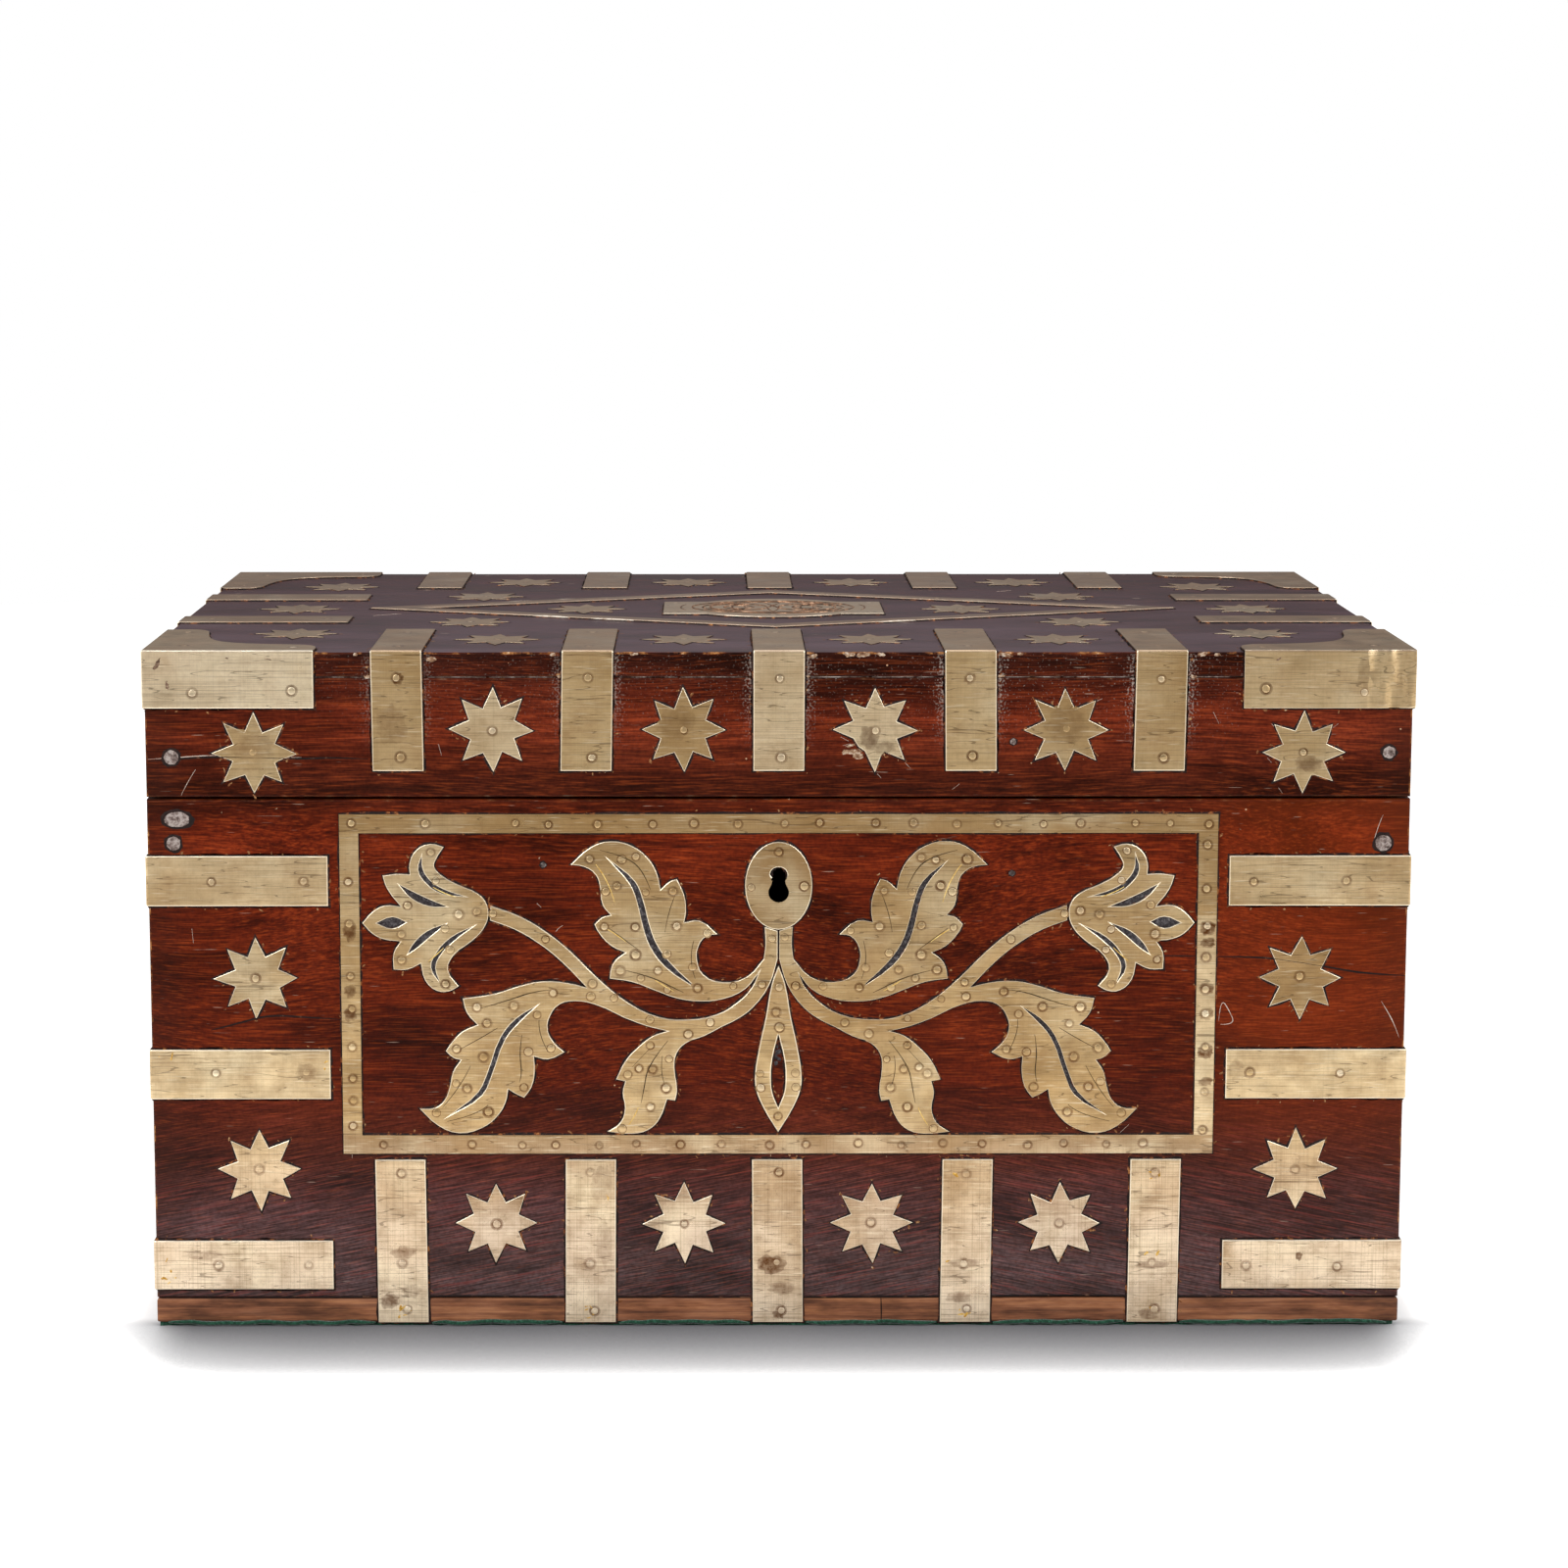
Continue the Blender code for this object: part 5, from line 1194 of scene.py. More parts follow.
# %% Pins of the foliage: out from the middle, up from the keyhole
LEAF_PINS = [(65.5, 9.5), (54.5, 9.0), (49.5, 10.0), (56, 0), (60, -2), (46, -2.5), (37, -2), (35.5, -14.5),
             (25, -16.5), (61, -15), (50, -14.5), (49.5, -24.5), (38.5, -24), (30, -29), (55.5, -30),
             (42, -30), (48, -33), (39, -36.5), (28.5, -36.5), (15.5, -36), (105.5, -43), (92, -43),
             (101.5, -49), (112, -58), (103, -61), (113, -70), (108.5, -72), (120, -81), (101.5, -81),
             (89, -71.5), (87, -59), (79.5, -58), (84, -45.5), (78.5, -38), (45, -57), (38, -61.5),
             (52.5, -67), (49, -65), (44, -65), (39.5, -72), (45, -79), (54.5, -86.5), (31.5, -52.5)]
TULIP_PINS = [(121, 12), (119, 2), (129, -7), (111.5, -10), (104.5, -9), (131, -17.5), (116, -15.5),
              (114, -22.5), (131.5, -26.5), (116, -35), (99, -10)]
STEM_PINS = [(81, -19), (64.5, -34.5), (57, -40), (53.5, -47), (65.5, -39.5), (45, -47.5), (23.5, -48.5),
             (6, -35.5), (2.3, -18.5), (5.5, -24)]
MIDDLE_PINS = [(0.3, 12), (9.2, -0.5), (-9.2, -0.5), (0, -36), (-0.5, -45), (0, -50.2), (6.2, -67),
               (-6.2, -67), (5.8, -72), (-5.8, -72), (0, -82.5)]
keyhole_up = KEYHOLE / MM
for hand in (-1, 1):
    for spots in (LEAF_PINS, TULIP_PINS, STEM_PINS):
        mark_pins("box", "front", [(hand * x, z + keyhole_up) for x, z in spots])
mark_pins("box", "front", [(x, z + keyhole_up) for x, z in MIDDLE_PINS])
print("pin places:", {body: len(spots) for body, spots in pins.items()})

# %% Pin heads and their stains
all_brass = bmesh.new()
for thing in list(sheet_pieces.values()) + star_pieces:
    all_brass.from_mesh(thing.data)
brass_surface = BVHTree.FromBMesh(all_brass)
tone_layer = all_brass.faces.layers.float["tone"]
brass_tones = [face[tone_layer] for face in all_brass.faces]
all_brass.free()


def brass_under(board, along, up):
    """Height and tone of the brass at a place on a side, or None where there is only wood."""
    start = board @ Vector((along, up, 10 * MM))
    hit, _, face, _ = brass_surface.ray_cast(start, -board.col[2].xyz, 20 * MM)
    if hit is None:
        return None
    height = (board.inverted() @ hit).z
    seated = min(abs(height - SHEET), abs(height - STAR_HEIGHT)) < 0.06 * MM
    return (height, brass_tones[face]) if seated else None


def has_brass_round(board, along, up, reach):
    """True where the brass goes on for some reach in eight directions."""
    ways = [math.pi / 4 * i for i in range(8)]
    return all(brass_under(board, along + reach * math.cos(w), up + reach * math.sin(w)) for w in ways)


for body, spots in pins.items():
    heads = bmesh.new()
    stains = bmesh.new()
    head_tones = heads.faces.layers.float.new("tone")
    stain_tones = stains.faces.layers.float.new("tone")
    depth_of_stain = stains.verts.layers.float.new("stain")
    placed = 0
    for side, along, up, size in spots:
        board = SIDES[side]
        along += random.uniform(-0.4, 0.4) * MM
        up += random.uniform(-0.4, 0.4) * MM
        found = brass_under(board, along, up)
        if found is None:
            continue
        height, tone = found
        radius = PIN_RADIUS * size * random.uniform(0.85, 1.1)
        place = board @ Matrix.Translation((along, up, height))
        squash = Matrix.Diagonal((1, random.uniform(0.88, 1.05), 0.11, 1))
        turn = Matrix.Rotation(random.uniform(0, math.pi), 4, "Z")
        made = bmesh.ops.create_uvsphere(heads, u_segments=10, v_segments=6, radius=radius,
                                         matrix=place @ turn @ squash)["verts"]
        head_tone = tone + random.uniform(-0.12, 0.32)
        for face in {f for v in made for f in v.link_faces}:
            face[head_tones] = head_tone
        reach = next((r for r in (2.1, 1.7, 1.45) if has_brass_round(board, along, up, radius * r)), 1.25)
        made = bmesh.ops.create_cone(stains, cap_ends=True, segments=14, radius1=radius * reach,
                                     radius2=radius * 1.06, depth=0.05 * MM, matrix=place)["verts"]
        strength = random.uniform(0.5, 1.0)
        for vert in made:
            over = board.inverted() @ vert.co
            vert[depth_of_stain] = strength if over.z > height else 0.0
        for face in {f for v in made for f in v.link_faces}:
            face[stain_tones] = tone
        placed += 1
    add_piece(f"{body}_pins", heads, brass, body, smooth=True)
    add_piece(f"{body}_pin_stains", stains, brass, body)
    print(f"{body}: {placed} of {len(spots)} pins placed")

# %% [markdown]
# ## Tarnish and metal polish
#
# Here and there the brass is tarnished nearly black, mostly at the foot, on the mended frame and beside
# the broken star. Each patch is a thin disc like a pin's stain, but larger and uneven: its rim is clean,
# its middle is stained. Yellow metal polish has dried round the lowest pins and on the ends of the
# corner straps; that is a handful of flakes.

# %% Tarnished patches
TARNISH = {"box": [(-137, 9.5, 4.2, 3.2, 0.8), (-131.5, 27, 5, 2.6, 0.6), (-129, 13, 4, 3, 0.4),
                   (-62, 52, 4.5, 7, 0.35), (-61, 30, 3.5, 9, 0.3), (-2.5, 22.5, 5.6, 3.6, 1.0),
                   (1, 14, 5, 3, 0.55), (0.5, 4.8, 2.6, 2.2, 0.9), (64, 10.5, 5, 2.4, 0.6),
                   (66, 23, 6.5, 2, 0.5), (131.5, 22.5, 7, 1.6, 0.6), (131, 4.5, 4, 2.6, 0.6),
                   (-149.3, 142.7, 2.6, 4.2, 0.9), (-149.3, 121, 2.6, 2.6, 0.8),
                   (-149.3, 113, 2.6, 3.2, 0.9), (149.6, 143, 4, 3.2, 1.0), (149.6, 138, 3.6, 2.2, 0.9),
                   (149.6, 121.8, 3.6, 2.6, 0.9), (149.6, 112.6, 3.4, 2.4, 0.7), (149.6, 99.5, 4, 3, 1.0),
                   (149.6, 88.5, 3.2, 1.8, 0.8), (183.5, 25.5, 1.4, 1.8, 1.0), (-165, 92, 4, 4, 0.35),
                   (-202, 26, 8, 2, 0.4), (160, 92, 3.5, 4.5, 0.3)],
           "lid": [(31, 210, 4, 5, 0.7), (36.5, 206.5, 4, 3, 0.5), (183, 201, 6, 3, 0.6),
                   (-131.5, 231, 2.6, 2.6, 1.0), (66, 231, 2.4, 2.4, 0.7), (-134, 215, 6, 8, 0.3),
                   (203, 233, 5, 7, 0.3), (-36, 216, 8, 7, 0.3), (99, 215, 8, 8, 0.3),
                   (-181, 207, 8, 6, 0.25)]}
PATCH_FOOT = 0.09 * MM


def add_patch(group, layers, board, along, up, half_long, half_high, strength):
    """Uneven tarnished disc on the brass under a place, in millimetres."""
    tones, depth = layers
    found = brass_under(board, along * MM, up * MM)
    if found is None:
        return 0
    height, tone = found
    place = board @ Matrix.Translation((along * MM, up * MM, height))
    size = Matrix.Diagonal((half_long, half_high, 1, 1))
    made = bmesh.ops.create_cone(group, cap_ends=True, segments=18, radius1=1.5 * MM, radius2=0.7 * MM,
                                 depth=PATCH_FOOT, matrix=place @ size)["verts"]
    to_board = board.inverted()
    for vert in made:
        over = to_board @ vert.co
        out = Vector((over.x - along * MM, over.y - up * MM, 0)) * random.uniform(0.6, 1.0)
        while out.length > 0.5 * MM and not brass_under(board, along * MM + out.x, up * MM + out.y):
            out *= 0.9
        vert.co = board @ Vector((along * MM + out.x, up * MM + out.y, over.z))
        vert[depth] = strength if over.z > height else 0.0
    for face in {f for v in made for f in v.link_faces}:
        face[tones] = tone
    return 1


for body, patches in TARNISH.items():
    group = bmesh.new()
    layers = (group.faces.layers.float.new("tone"), group.verts.layers.float.new("stain"))
    laid = sum(add_patch(group, layers, SIDES["front"], *patch) for patch in patches)
    add_piece(f"{body}_tarnish", group, brass, body)
    print(f"{body}: {laid} of {len(patches)} tarnished patches")

# %% Dried polish
POLISH_SPOTS = [(-132, 5.5, 5), (-66, 5.5, 6), (66, 5.5, 5), (132, 5.5, 4), (-214, 18.5, 4),
                (-216.5, 24, 1), (-214, 98.5, 2), (-156, 96, 2), (64.5, 55.5, 2), (132, 55, 3), (62, 23, 2),
                (132, 27, 2), (-58.5, 47, 2), (-58.6, 41, 1), (-160, 94, 1)]
YELLOW_POLISH = speckled("dried yellow polish", 1.0,
                         [(0.4, "#a97b2a"), (0.55, "#d6ab55"), (0.68, "#efd79c")])
flakes = bmesh.new()
for along, up, count in POLISH_SPOTS:
    for turn in range(count):
        bearing = 2 * math.pi * turn / count + random.uniform(-0.5, 0.5)
        reach = random.uniform(1.2, 2.4) * MM
        x = along * MM + reach * math.cos(bearing)
        z = up * MM + reach * math.sin(bearing)
        found = brass_under(SIDES["front"], x, z)
        if found:
            place = SIDES["front"] @ Matrix.Translation((x, z, found[0]))
            add_flake(flakes, place, random.uniform(0.4, 0.75) * MM)
print("flake faces:", len(flakes.faces))
add_piece("polish_flakes", flakes, YELLOW_POLISH, "box")

# %% [markdown]
# ## Engraved veins, cracks and scratches
#
# Fine lines are drawn as thin wires that lie half in the surface: a smooth curve through a few points,
# thinner at both ends, made into a mesh at once. The leaves have engraved side veins, most dark with
# dirt and some drawn bright yellow as a painted highlight along the cut. The plate on the lid has an
# engraved oval, dark with dirt and painted with a pale copper highlight. The wood has a few drying
# cracks and pale scratches; a pale line along the upper lip of the lid's crack is a painted highlight.
# The joint under the lid board is a dark line with a painted pale highlight. Pale filler stands along
# the lifted edges of the lozenge.

# %% Thin lines
def add_lines(name, lines, side, lift, width, material, body):
    """Wires along lines of (along, up) points on a side, in millimetres."""
    curve = bpy.data.curves.new(name, "CURVE")
    curve.dimensions = "3D"
    curve.bevel_depth = width / 2
    curve.bevel_resolution = 1
    curve.use_fill_caps = True
    for points in lines:
        wire = curve.splines.new("NURBS")
        wire.points.add(len(points) - 1)
        for i, (knot, (along, up)) in enumerate(zip(wire.points, points)):
            knot.co = (*(SIDES[side] @ Vector((along * MM, up * MM, lift))), 1)
            knot.radius = 0.35 if i in (0, len(points) - 1) else 1.0
        wire.order_u = min(3, len(points))
        wire.use_endpoint_u = True
        wire.resolution_u = 5
    drawing = bpy.data.objects.new(name, curve)
    scene.collection.objects.link(drawing)
    bpy.context.view_layer.update()
    mesh = bpy.data.meshes.new_from_object(drawing.evaluated_get(bpy.context.evaluated_depsgraph_get()))
    bpy.data.objects.remove(drawing)
    bpy.data.curves.remove(curve)
    bm = bmesh.new()
    bm.from_mesh(mesh)
    bpy.data.meshes.remove(mesh)
    bmesh.ops.remove_doubles(bm, verts=bm.verts, dist=0.005 * MM)
    return add_piece(name, bm, material, body)


DARK_VEINS = [
    [(62, 12.5), (53.5, 10.5), (47, 5.5), (44.5, -1.5)], [(36, -3.5), (38.5, -9.5), (39.5, -16.5)],
    [(59, -15), (52.5, -20), (49, -22.5)], [(53.5, -30), (45, -32), (37, -36), (33, -38)],
    [(29.5, -19.5), (31.5, -26), (29, -33)],
    [(104, -43.5), (95, -41), (85.5, -37.5), (80, -37)], [(111, -58), (103.5, -54), (98, -50.5)],
    [(107.5, -64), (111, -71.5), (117.5, -79)], [(89.5, -53), (90.5, -59), (89.5, -67), (90.5, -70)],
    [(83.5, -47.5), (84, -52.5), (80.5, -59)], [(116, -84), (104.5, -81.5), (101.5, -78)],
    [(38.5, -55), (45.5, -63.5), (47, -72.5), (48, -77.5)], [(45, -58), (51, -64.5)],
    [(40.5, -60.5), (41.5, -66), (39.5, -71.5)],
]
BRIGHT_VEINS = [
    [(63.5, 7.5), (59, 2), (57, -6)], [(49, -79), (50, -82), (52.5, -85.5)],
    [(59.5, -15.5), (56, -17.5), (53, -20)], [(43, -33.5), (40, -35.5), (36.5, -37.5)],
    [(122, -27), (119, -24.5), (116.5, -22)], [(120, -0.5), (116, -3), (112, -4)],
]
DIRT = speckled("dirt in engraving", 2, [(0.35, "#2a2016"), (0.65, "#5a4828")])
# painted highlight: some veins are drawn pale yellow, as light along the cut
VEIN_HIGHLIGHT = speckled("painted highlight on engraved veins", 2, [(0.35, "#c99a3c"), (0.65, "#f6dc90")], 0.4)
for name, lines, width, material in (("engraved_veins", DARK_VEINS, 0.42 * MM, DIRT),
                                     ("bright_veins", BRIGHT_VEINS, 0.55 * MM, VEIN_HIGHLIGHT)):
    both_hands = [[(hand * x, z + keyhole_up) for x, z in line] for line in lines for hand in (-1, 1)]
    add_lines(name, both_hands, "front", SHEET, width, material, "box")
    print(name, len(both_hands))

# %% Engraved plate on the lid
def oval(middle, half_long, half_wide, corners=20):
    """Closed oval round a point (middle, 0)."""
    turns = [2 * math.pi * i / corners for i in range(corners + 1)]
    return [(middle + half_long * math.cos(t), half_wide * math.sin(t)) for t in turns]


PLATE_LINES = [oval(0, 31, 20), oval(0, 27, 16.5)]
for s in (-1, 1):
    PLATE_LINES += [oval(13 * s, 11, 10), oval(13 * s, 6, 5.5, 8), oval(13 * s, 2.5, 9, 12)]
    PLATE_LINES += [[(33 * s, 9), (37 * s, 0), (33 * s, -9)], [(3 * s, 14), (0, 5), (-3 * s, -5), (0, -14)]]
# dirt in the plate's lines, with its pale copper colour painted as a highlight
DIRT_AND_COPPER_HIGHLIGHT = speckled("brown dirt and painted copper highlight", 3,
                   [(0.4, "#3a2a20"), (0.55, "#7a543c"), (0.65, "#c89e80")])
add_lines("plate_engraving", PLATE_LINES, "top", SHEET, 0.6 * MM, DIRT_AND_COPPER_HIGHLIGHT, "lid")
print("plate lines:", len(PLATE_LINES))

# %% Cracks, scratches and dust
CRACK = speckled("dark crack", 4, [(0.35, "#0c0605"), (0.6, "#1d0d09"), (0.7, "#6a4a38")])
# pale scratches in the polish; the same colour draws the painted highlight along the lid's crack
SCRATCH_AND_HIGHLIGHT = speckled("pale scratch and painted highlight in polish", 3, [(0.35, "#a08070"), (0.65, "#d8cabc")])
PALE_FILLER = speckled("pale filler", 3, [(0.35, "#b39c86"), (0.6, "#efe4d4")])
# dark joint line whose pale colour is a painted highlight along the joint
JOINT_AND_HIGHLIGHT = speckled("dark joint and painted highlight", 5, [(0.4, "#2a1710"), (0.5, "#6e5c54"), (0.65, "#b0a49c")])


def along_lozenge(x, side):
    """Place on the outer edge of a lozenge strip, in millimetres; side is 1 at the rear and -1 in front."""
    return x, side * tip_y * (1 - abs(x) / tip_x)


BODY_CRACKS = [
    [(-198, 107), (-190, 109), (-178, 112.5), (-165, 111.6), (-152.5, 110.8)],
    [(152.6, 133), (165, 133), (178, 131.6), (196, 128.4), (206, 126.8), (218.6, 126.2)],
    [(133, 133.4), (139, 133.2), (146, 133.2)],
    [(36.5, 1.7), (36.7, 5.5), (36.4, 10.1)],
    [(-218, 10.4), (-150, 10.5), (-110, 11.2), (-90, 10.7), (-40, 10.4)],
    [(-40, 10.4), (30, 10.5), (75, 10.9), (110, 11.2), (125, 10.8), (160, 10.5), (218, 10.4)],
]
LID_CRACKS = [[(-218, 202.2), (-208, 202.8), (-197, 203.6), (-182, 203.4), (-165, 202.8), (-155, 203.4),
               (-142, 202.8)]]
BODY_SCRATCHES = [[(-77.5, 142), (-76.5, 143.4), (-75, 144.2)], [(-84, 152), (-82.5, 150.5)],
                  [(-150, 72), (-149, 66), (-149.5, 61)], [(-212, 96), (-211, 92)], [(120, 70), (123, 73)],
                  [(206, 172), (208, 180), (209.5, 183)],
                  [(210.5, 117), (213, 113), (215.6, 108), (217, 104)], [(-204, 143), (-203.6, 138)],
                  [(153.8, 110), (154.3, 118.5), (157.6, 113.5), (159.6, 108.6), (154.4, 108.8)]]
# the first line is a painted highlight along the upper lip of the lid's crack; the others are pale
# scratches
LID_SCRATCHES_AND_HIGHLIGHT = [[(x, z + 0.55) for x, z in LID_CRACKS[0][:5]],
                 [(-206.8, 190), (-205, 194), (-201.6, 199.2)], [(60, 192), (62.5, 194)],
                 [(150, 219), (152, 215)], [(170, 215), (172, 213.2)], [(190.5, 213), (193.2, 215)],
                 [(173, 192.6), (174.4, 190.6)], [(169, 203), (170.4, 201.4)], [(21.4, 210.4), (24, 209)],
                 [(22, 207.4), (24.4, 208)], [(43.6, 201.4), (45.6, 199.4)], [(34, 197.6), (35.4, 196)],
                 [(109, 222.6), (111.6, 223.8)], [(-117.6, 208), (-116.6, 204)]]
TOP_SCRATCHES = [[(9, 24), (11, 29), (14, 30)], [(-150, -20), (-140, -14)], [(90, 60), (96, 64)],
                 [(60, 8), (70, 5), (78, 5.5)]]
LOZENGE_FILLER = [
    [along_lozenge(x, side) for x in steps] for side, steps in (
        (1, (-106, -98, -89)), (1, (-86, -80, -74)), (-1, (-90, -82, -76)), (-1, (-68, -60, -52)),
        (-1, (38, 44, 52)), (1, (131, 137, 143)))
]
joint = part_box("lid_front_rail")[1].z / MM + 0.15
# wires in the joint under the lid board and down beside the straps: dark joint with a painted pale
# highlight
JOINT_AND_HIGHLIGHT_LINES = [[(x + a, joint), (x + b, joint + 0.1), (x + c, joint)] for x in (-165, -99, -33, 33, 99, 162)
              for a, b, c in ((-22, -12, -2), (-1, 9, 22))]
JOINT_AND_HIGHLIGHT_LINES += [[(x, 238.4), (x + 0.3, 234.6), (x, joint)]
               for x in (-161.6, -141.8, -122.2, 56.2, 75.8, 122.2, 141.8)]
for name, lines, side, lift, width, material, body in (
        ("body_cracks", BODY_CRACKS, "front", 0, 0.7, CRACK, "box"),
        ("lid_cracks", LID_CRACKS, "front", 0, 0.7, CRACK, "lid"),
        ("body_scratches", BODY_SCRATCHES, "front", 0, 0.32, SCRATCH_AND_HIGHLIGHT, "box"),
        ("lid_scratches_and_highlight", LID_SCRATCHES_AND_HIGHLIGHT, "front", 0, 0.32, SCRATCH_AND_HIGHLIGHT, "lid"),
        ("lid_top_scratches", TOP_SCRATCHES, "top", 0, 0.5, SCRATCH_AND_HIGHLIGHT, "lid"),
        ("lozenge_filler", LOZENGE_FILLER, "top", 0.45, 1.2, PALE_FILLER, "lid"),
        ("lid_joint_and_highlight", JOINT_AND_HIGHLIGHT_LINES, "front", -0.35, 0.5, JOINT_AND_HIGHLIGHT, "lid")):
    add_lines(name, lines, side, lift * MM, width * MM, material, body)
    print(f"{name}: {len(lines)}")

# %% [markdown]
# ## Iron nails
#
# The corners are nailed with iron, and the heads show, each in a black stain. The large ones are worn
# bright, and the small ones in the panel are dark. A head is a flat disc whose rim is beaten out of
# round: a short cone with its corners moved a little. At the top left a wide head was beaten flat.

# %% Nail heads
IRON = speckled("dull old iron", 2.2, [(0.35, "#2c211e"), (0.5, "#4c4340"), (0.62, "#7a7370")], 0.5)
WORN_IRON = speckled("worn bright iron", 1.4,
                     [(0.35, "#3c302c"), (0.48, "#7a6a64"), (0.6, "#a89e98"), (0.72, "#86685a")], 0.45)
STAIN = speckled("black iron stain", 2, [(0.35, "#120a09"), (0.65, "#26140f")])


def add_nails(name, spots, body, iron):
    """Beaten nail heads and their stains on the front, at (along, up, radius, stretch) in millimetres."""
    heads = bmesh.new()
    stains = bmesh.new()
    for along, up, radius, stretch in spots:
        place = SIDES["front"] @ Matrix.Translation((along * MM, up * MM, 0.1 * MM))
        place = place @ Matrix.Diagonal((stretch, 1, 1, 1))
        for group, wide, deep, beaten in ((heads, 1.0, 0.5, 0.2), (stains, 1.25, 0.24, 0.35)):
            made = bmesh.ops.create_cone(group, cap_ends=True, segments=16, radius1=radius * wide * MM,
                                         radius2=radius * wide * 0.88 * MM, depth=deep * MM,
                                         matrix=place)["verts"]
            for vert in made:
                vert.co += Vector((random.uniform(-beaten, beaten), 0,
                                   random.uniform(-beaten, beaten))) * MM
    add_piece(f"{name}_heads", heads, iron, body)
    add_piece(f"{name}_stains", stains, STAIN, body)


add_nails("lid_nail", [(-210, 203.4, 2.8, 1), (211, 205, 2.4, 1), (81, 208.8, 1.1, 1)], "lid", WORN_IRON)
add_nails("body_nail", [(-208.4, 181.6, 3.0, 1.6), (-209.8, 173.2, 2.7, 1), (209.8, 173.2, 3.1, 1)], "box",
          WORN_IRON)
add_nails("panel_nail", [(-81.7, 165.6, 1.1, 1), (81, 162.6, 1.1, 1)], "box", IRON)
print("iron nails in the front")

# %% [markdown]
# ## Hinges, lock and screws
#
# Two butt hinges and a box lock are let into the edges of the wood, and show when the lid is open. Their
# solids have the right shape, so they stay, with better finishes. The lock's case and cap are painted
# nearly black, as the shade seen through the keyhole. Their countersunk screws are added: a short cone
# is cut by two parallel planes, and the strip between the cuts is pushed down as the slot.

# %% Lock steel and screws
blued, tree = start_finish("dark oiled steel")
spot = add_node(tree, "TexCoord").outputs["Object"]
clouds = add_node(tree, "TexNoise", values={"Scale": 1 / (4 * MM), "Detail": 4.0}, links={"Vector": spot})
colour = add_node(tree, "ValToRGB", links={0: clouds},
                  stops=[(0.35, "#3a3836"), (0.6, "#68645f"), (0.75, "#6e5138")])
rough = add_node(tree, "MapRange", values={"To Min": 0.3, "To Max": 0.6}, links={"Value": clouds})
shader = add_node(tree, "BsdfPrincipled", values={"Metallic": 1.0},
                  links={"Base Color": colour, "Roughness": rough})
add_node(tree, "OutputMaterial", links={"Surface": shader})

# painted shade: the lock's case and cap are painted nearly black, for the shade seen through the keyhole
SHADED_LOCK_BRASS = speckled("lock brass painted dark as shade", 6, [(0.3, "#1c150c"), (0.6, "#3a2d1a"), (0.75, "#57452a")],
                      0.5)
HINGES = ("left_hinge", "right_hinge")
LEAVES = [f"{hinge}_{leaf}_leaf" for hinge in HINGES for leaf in ("body", "lid")]
HINGE_PINS = [f"{hinge}_pin" for hinge in HINGES]
for finish, nodes in ((brass, LEAVES + ["link_plate"]), (SHADED_LOCK_BRASS, ["lock_case", "lock_cap"]),
                      (blued, HINGE_PINS + ["lock_bolt", "bolt_spring"])):
    for node in nodes:
        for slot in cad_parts[node].material_slots:
            slot.material = finish


def add_screw(group, place, radius=1.7 * MM):
    """Slotted screw head, nearly flush."""
    bm = bmesh.new()
    bmesh.ops.create_cone(bm, cap_ends=True, segments=16, radius1=radius, radius2=radius * 0.92,
                          depth=0.3 * MM)
    for side in (-1, 1):
        bmesh.ops.bisect_plane(bm, geom=all_parts(bm), plane_co=(0, side * radius * 0.14, 0),
                               plane_no=(0, 1, 0))
    slot = [f for f in bm.faces if f.normal.z > 0.9 and abs(f.calc_center_median().y) < radius * 0.1]
    sunk = bmesh.ops.extrude_face_region(bm, geom=slot)["geom"]
    bmesh.ops.translate(bm, verts=[v for v in sunk if isinstance(v, bmesh.types.BMVert)],
                        vec=(0, 0, -0.25 * MM))
    turn = Matrix.Rotation(random.uniform(0, math.pi), 4, "Z")
    bmesh.ops.transform(bm, matrix=place @ turn, verts=bm.verts)
    pour(group, bm)


FACE_DOWN = Matrix.Rotation(math.pi, 4, "X")
FACE_BACK = Matrix.Rotation(-math.pi / 2, 4, "X")
box_screws = bmesh.new()
lid_screws = bmesh.new()
for hinge in HINGES:
    low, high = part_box(f"{hinge}_body_leaf")
    for share in (0.1, 0.5, 0.9):
        x = low.x + (high.x - low.x) * share
        y = low.y + 3.0 * MM
        add_screw(box_screws, Matrix.Translation((x, y, SEAM)))
        add_screw(lid_screws, Matrix.Translation((x, y, SEAM + 0.8 * MM)) @ FACE_DOWN)
low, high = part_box("lock_cap")
for x in (low.x + 4 * MM, high.x - 4 * MM):
    for z in (low.z + 4 * MM, high.z - 4 * MM):
        add_screw(box_screws, Matrix.Translation((x, high.y, z)) @ FACE_BACK)
low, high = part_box("lock_case")
for x in (low.x + 5 * MM, high.x - 5 * MM):
    add_screw(box_screws, Matrix.Translation((x, (low.y + high.y) / 2, high.z)))
low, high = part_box("link_plate")
for x in (low.x + 4 * MM, (low.x + high.x) / 2, high.x - 4 * MM):
    add_screw(lid_screws, Matrix.Translation((x, (low.y + high.y) / 2, SEAM + 0.8 * MM)) @ FACE_DOWN)
add_piece("box_screws", box_screws, blued, "box")
add_piece("lid_screws", lid_screws, blued, "lid")
print("hinge and lock screws")

# %% [markdown]
# ## Baize
#
# Green baize is glued under the base. It is a felted wool cloth: no weave shows, only a short nap, so
# its colour is dull and soft and its cut edge is a little ragged. The sheet is a fine grid with its
# border moved in and out, thickened to the cloth's 1.2 mm. Between the foot straps the front edge has
# frayed and hangs out; that is a thick, wavering wire of the same cloth.

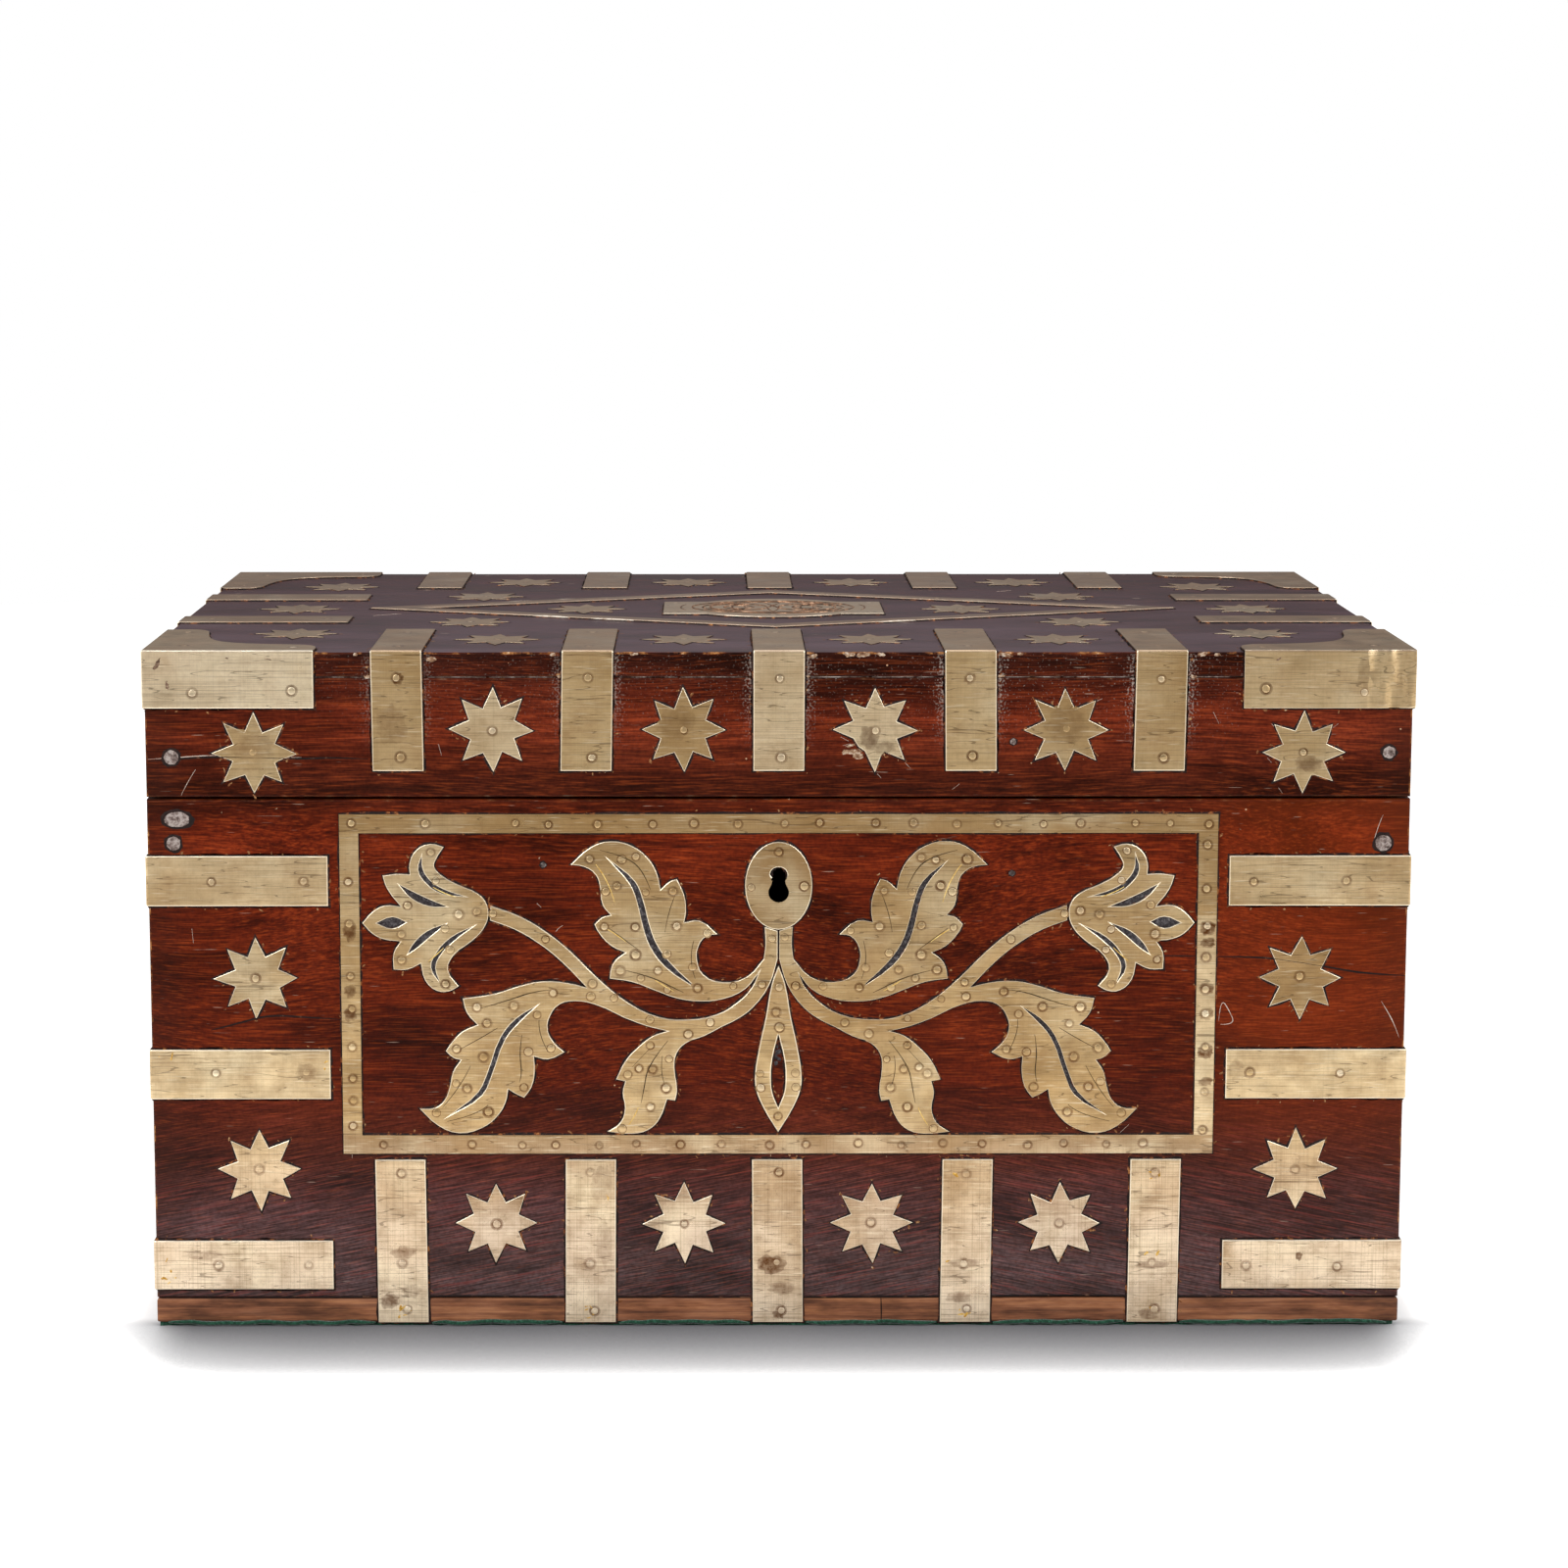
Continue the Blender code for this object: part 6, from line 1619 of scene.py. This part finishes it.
# %% Green baize
baize, tree = start_finish("green wool baize")
spot = add_node(tree, "TexCoord").outputs["Object"]
nap = add_node(tree, "TexNoise", values={"Scale": 1 / (0.9 * MM), "Detail": 4.0, "Roughness": 0.7},
               links={"Vector": spot})
colour = add_node(tree, "ValToRGB", links={0: nap},
                  stops=[(0.35, "#0c261a"), (0.55, "#1a4432"), (0.7, "#366350")])
bump = add_node(tree, "Bump", values={"Strength": 0.8, "Distance": 0.4 * MM}, links={"Height": nap})
shader = add_node(tree, "BsdfPrincipled",
                  values={"Roughness": 0.95, "Specular IOR Level": 0.1, "Sheen Weight": 0.4,
                          "Sheen Roughness": 0.5}, links={"Base Color": colour, "Normal": bump})
add_node(tree, "OutputMaterial", links={"Surface": shader})
low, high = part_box("baize_sheet")
cloth_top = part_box("base_board")[0].z
bm = bmesh.new()
bmesh.ops.create_grid(bm, x_segments=146, y_segments=84, size=0.5,
                      matrix=Matrix.Diagonal((high.x - low.x, high.y - low.y, 1, 1)))
for vert in bm.verts:
    if vert.is_boundary:
        vert.co += Vector((random.uniform(-0.5, 0.5), random.uniform(-0.5, 0.5), 0)) * MM
lifted = bmesh.ops.extrude_face_region(bm, geom=bm.faces[:])["geom"]
bmesh.ops.translate(bm, verts=[v for v in lifted if isinstance(v, bmesh.types.BMVert)],
                    vec=(0, 0, cloth_top))
bmesh.ops.recalc_face_normals(bm, faces=bm.faces)
cloth = add_piece("baize_felt", bm, baize, "box", ["baize_sheet"])
print("baize:", round((high.x - low.x) / MM), "x", round((high.y - low.y) / MM), "mm")

# %% Frayed front edge
FELT_FIELDS = [(-215, -142), (-122, -76), (-56, -10), (10, 56), (76, 122), (142, 215)]
EDGE_WIDTH = 1.7 * MM
felt_edge = []
for start, end in FELT_FIELDS:
    count = round((end - start) / 4)
    steps = [start + (end - start) * i / count for i in range(count + 1)]
    felt_edge.append([(x, 0.95 + random.uniform(0, 0.9)) for x in steps])
add_lines("baize_edge", felt_edge, "front", 0.1 * MM, EDGE_WIDTH, baize, "box")
print("frayed edges:", len(felt_edge))
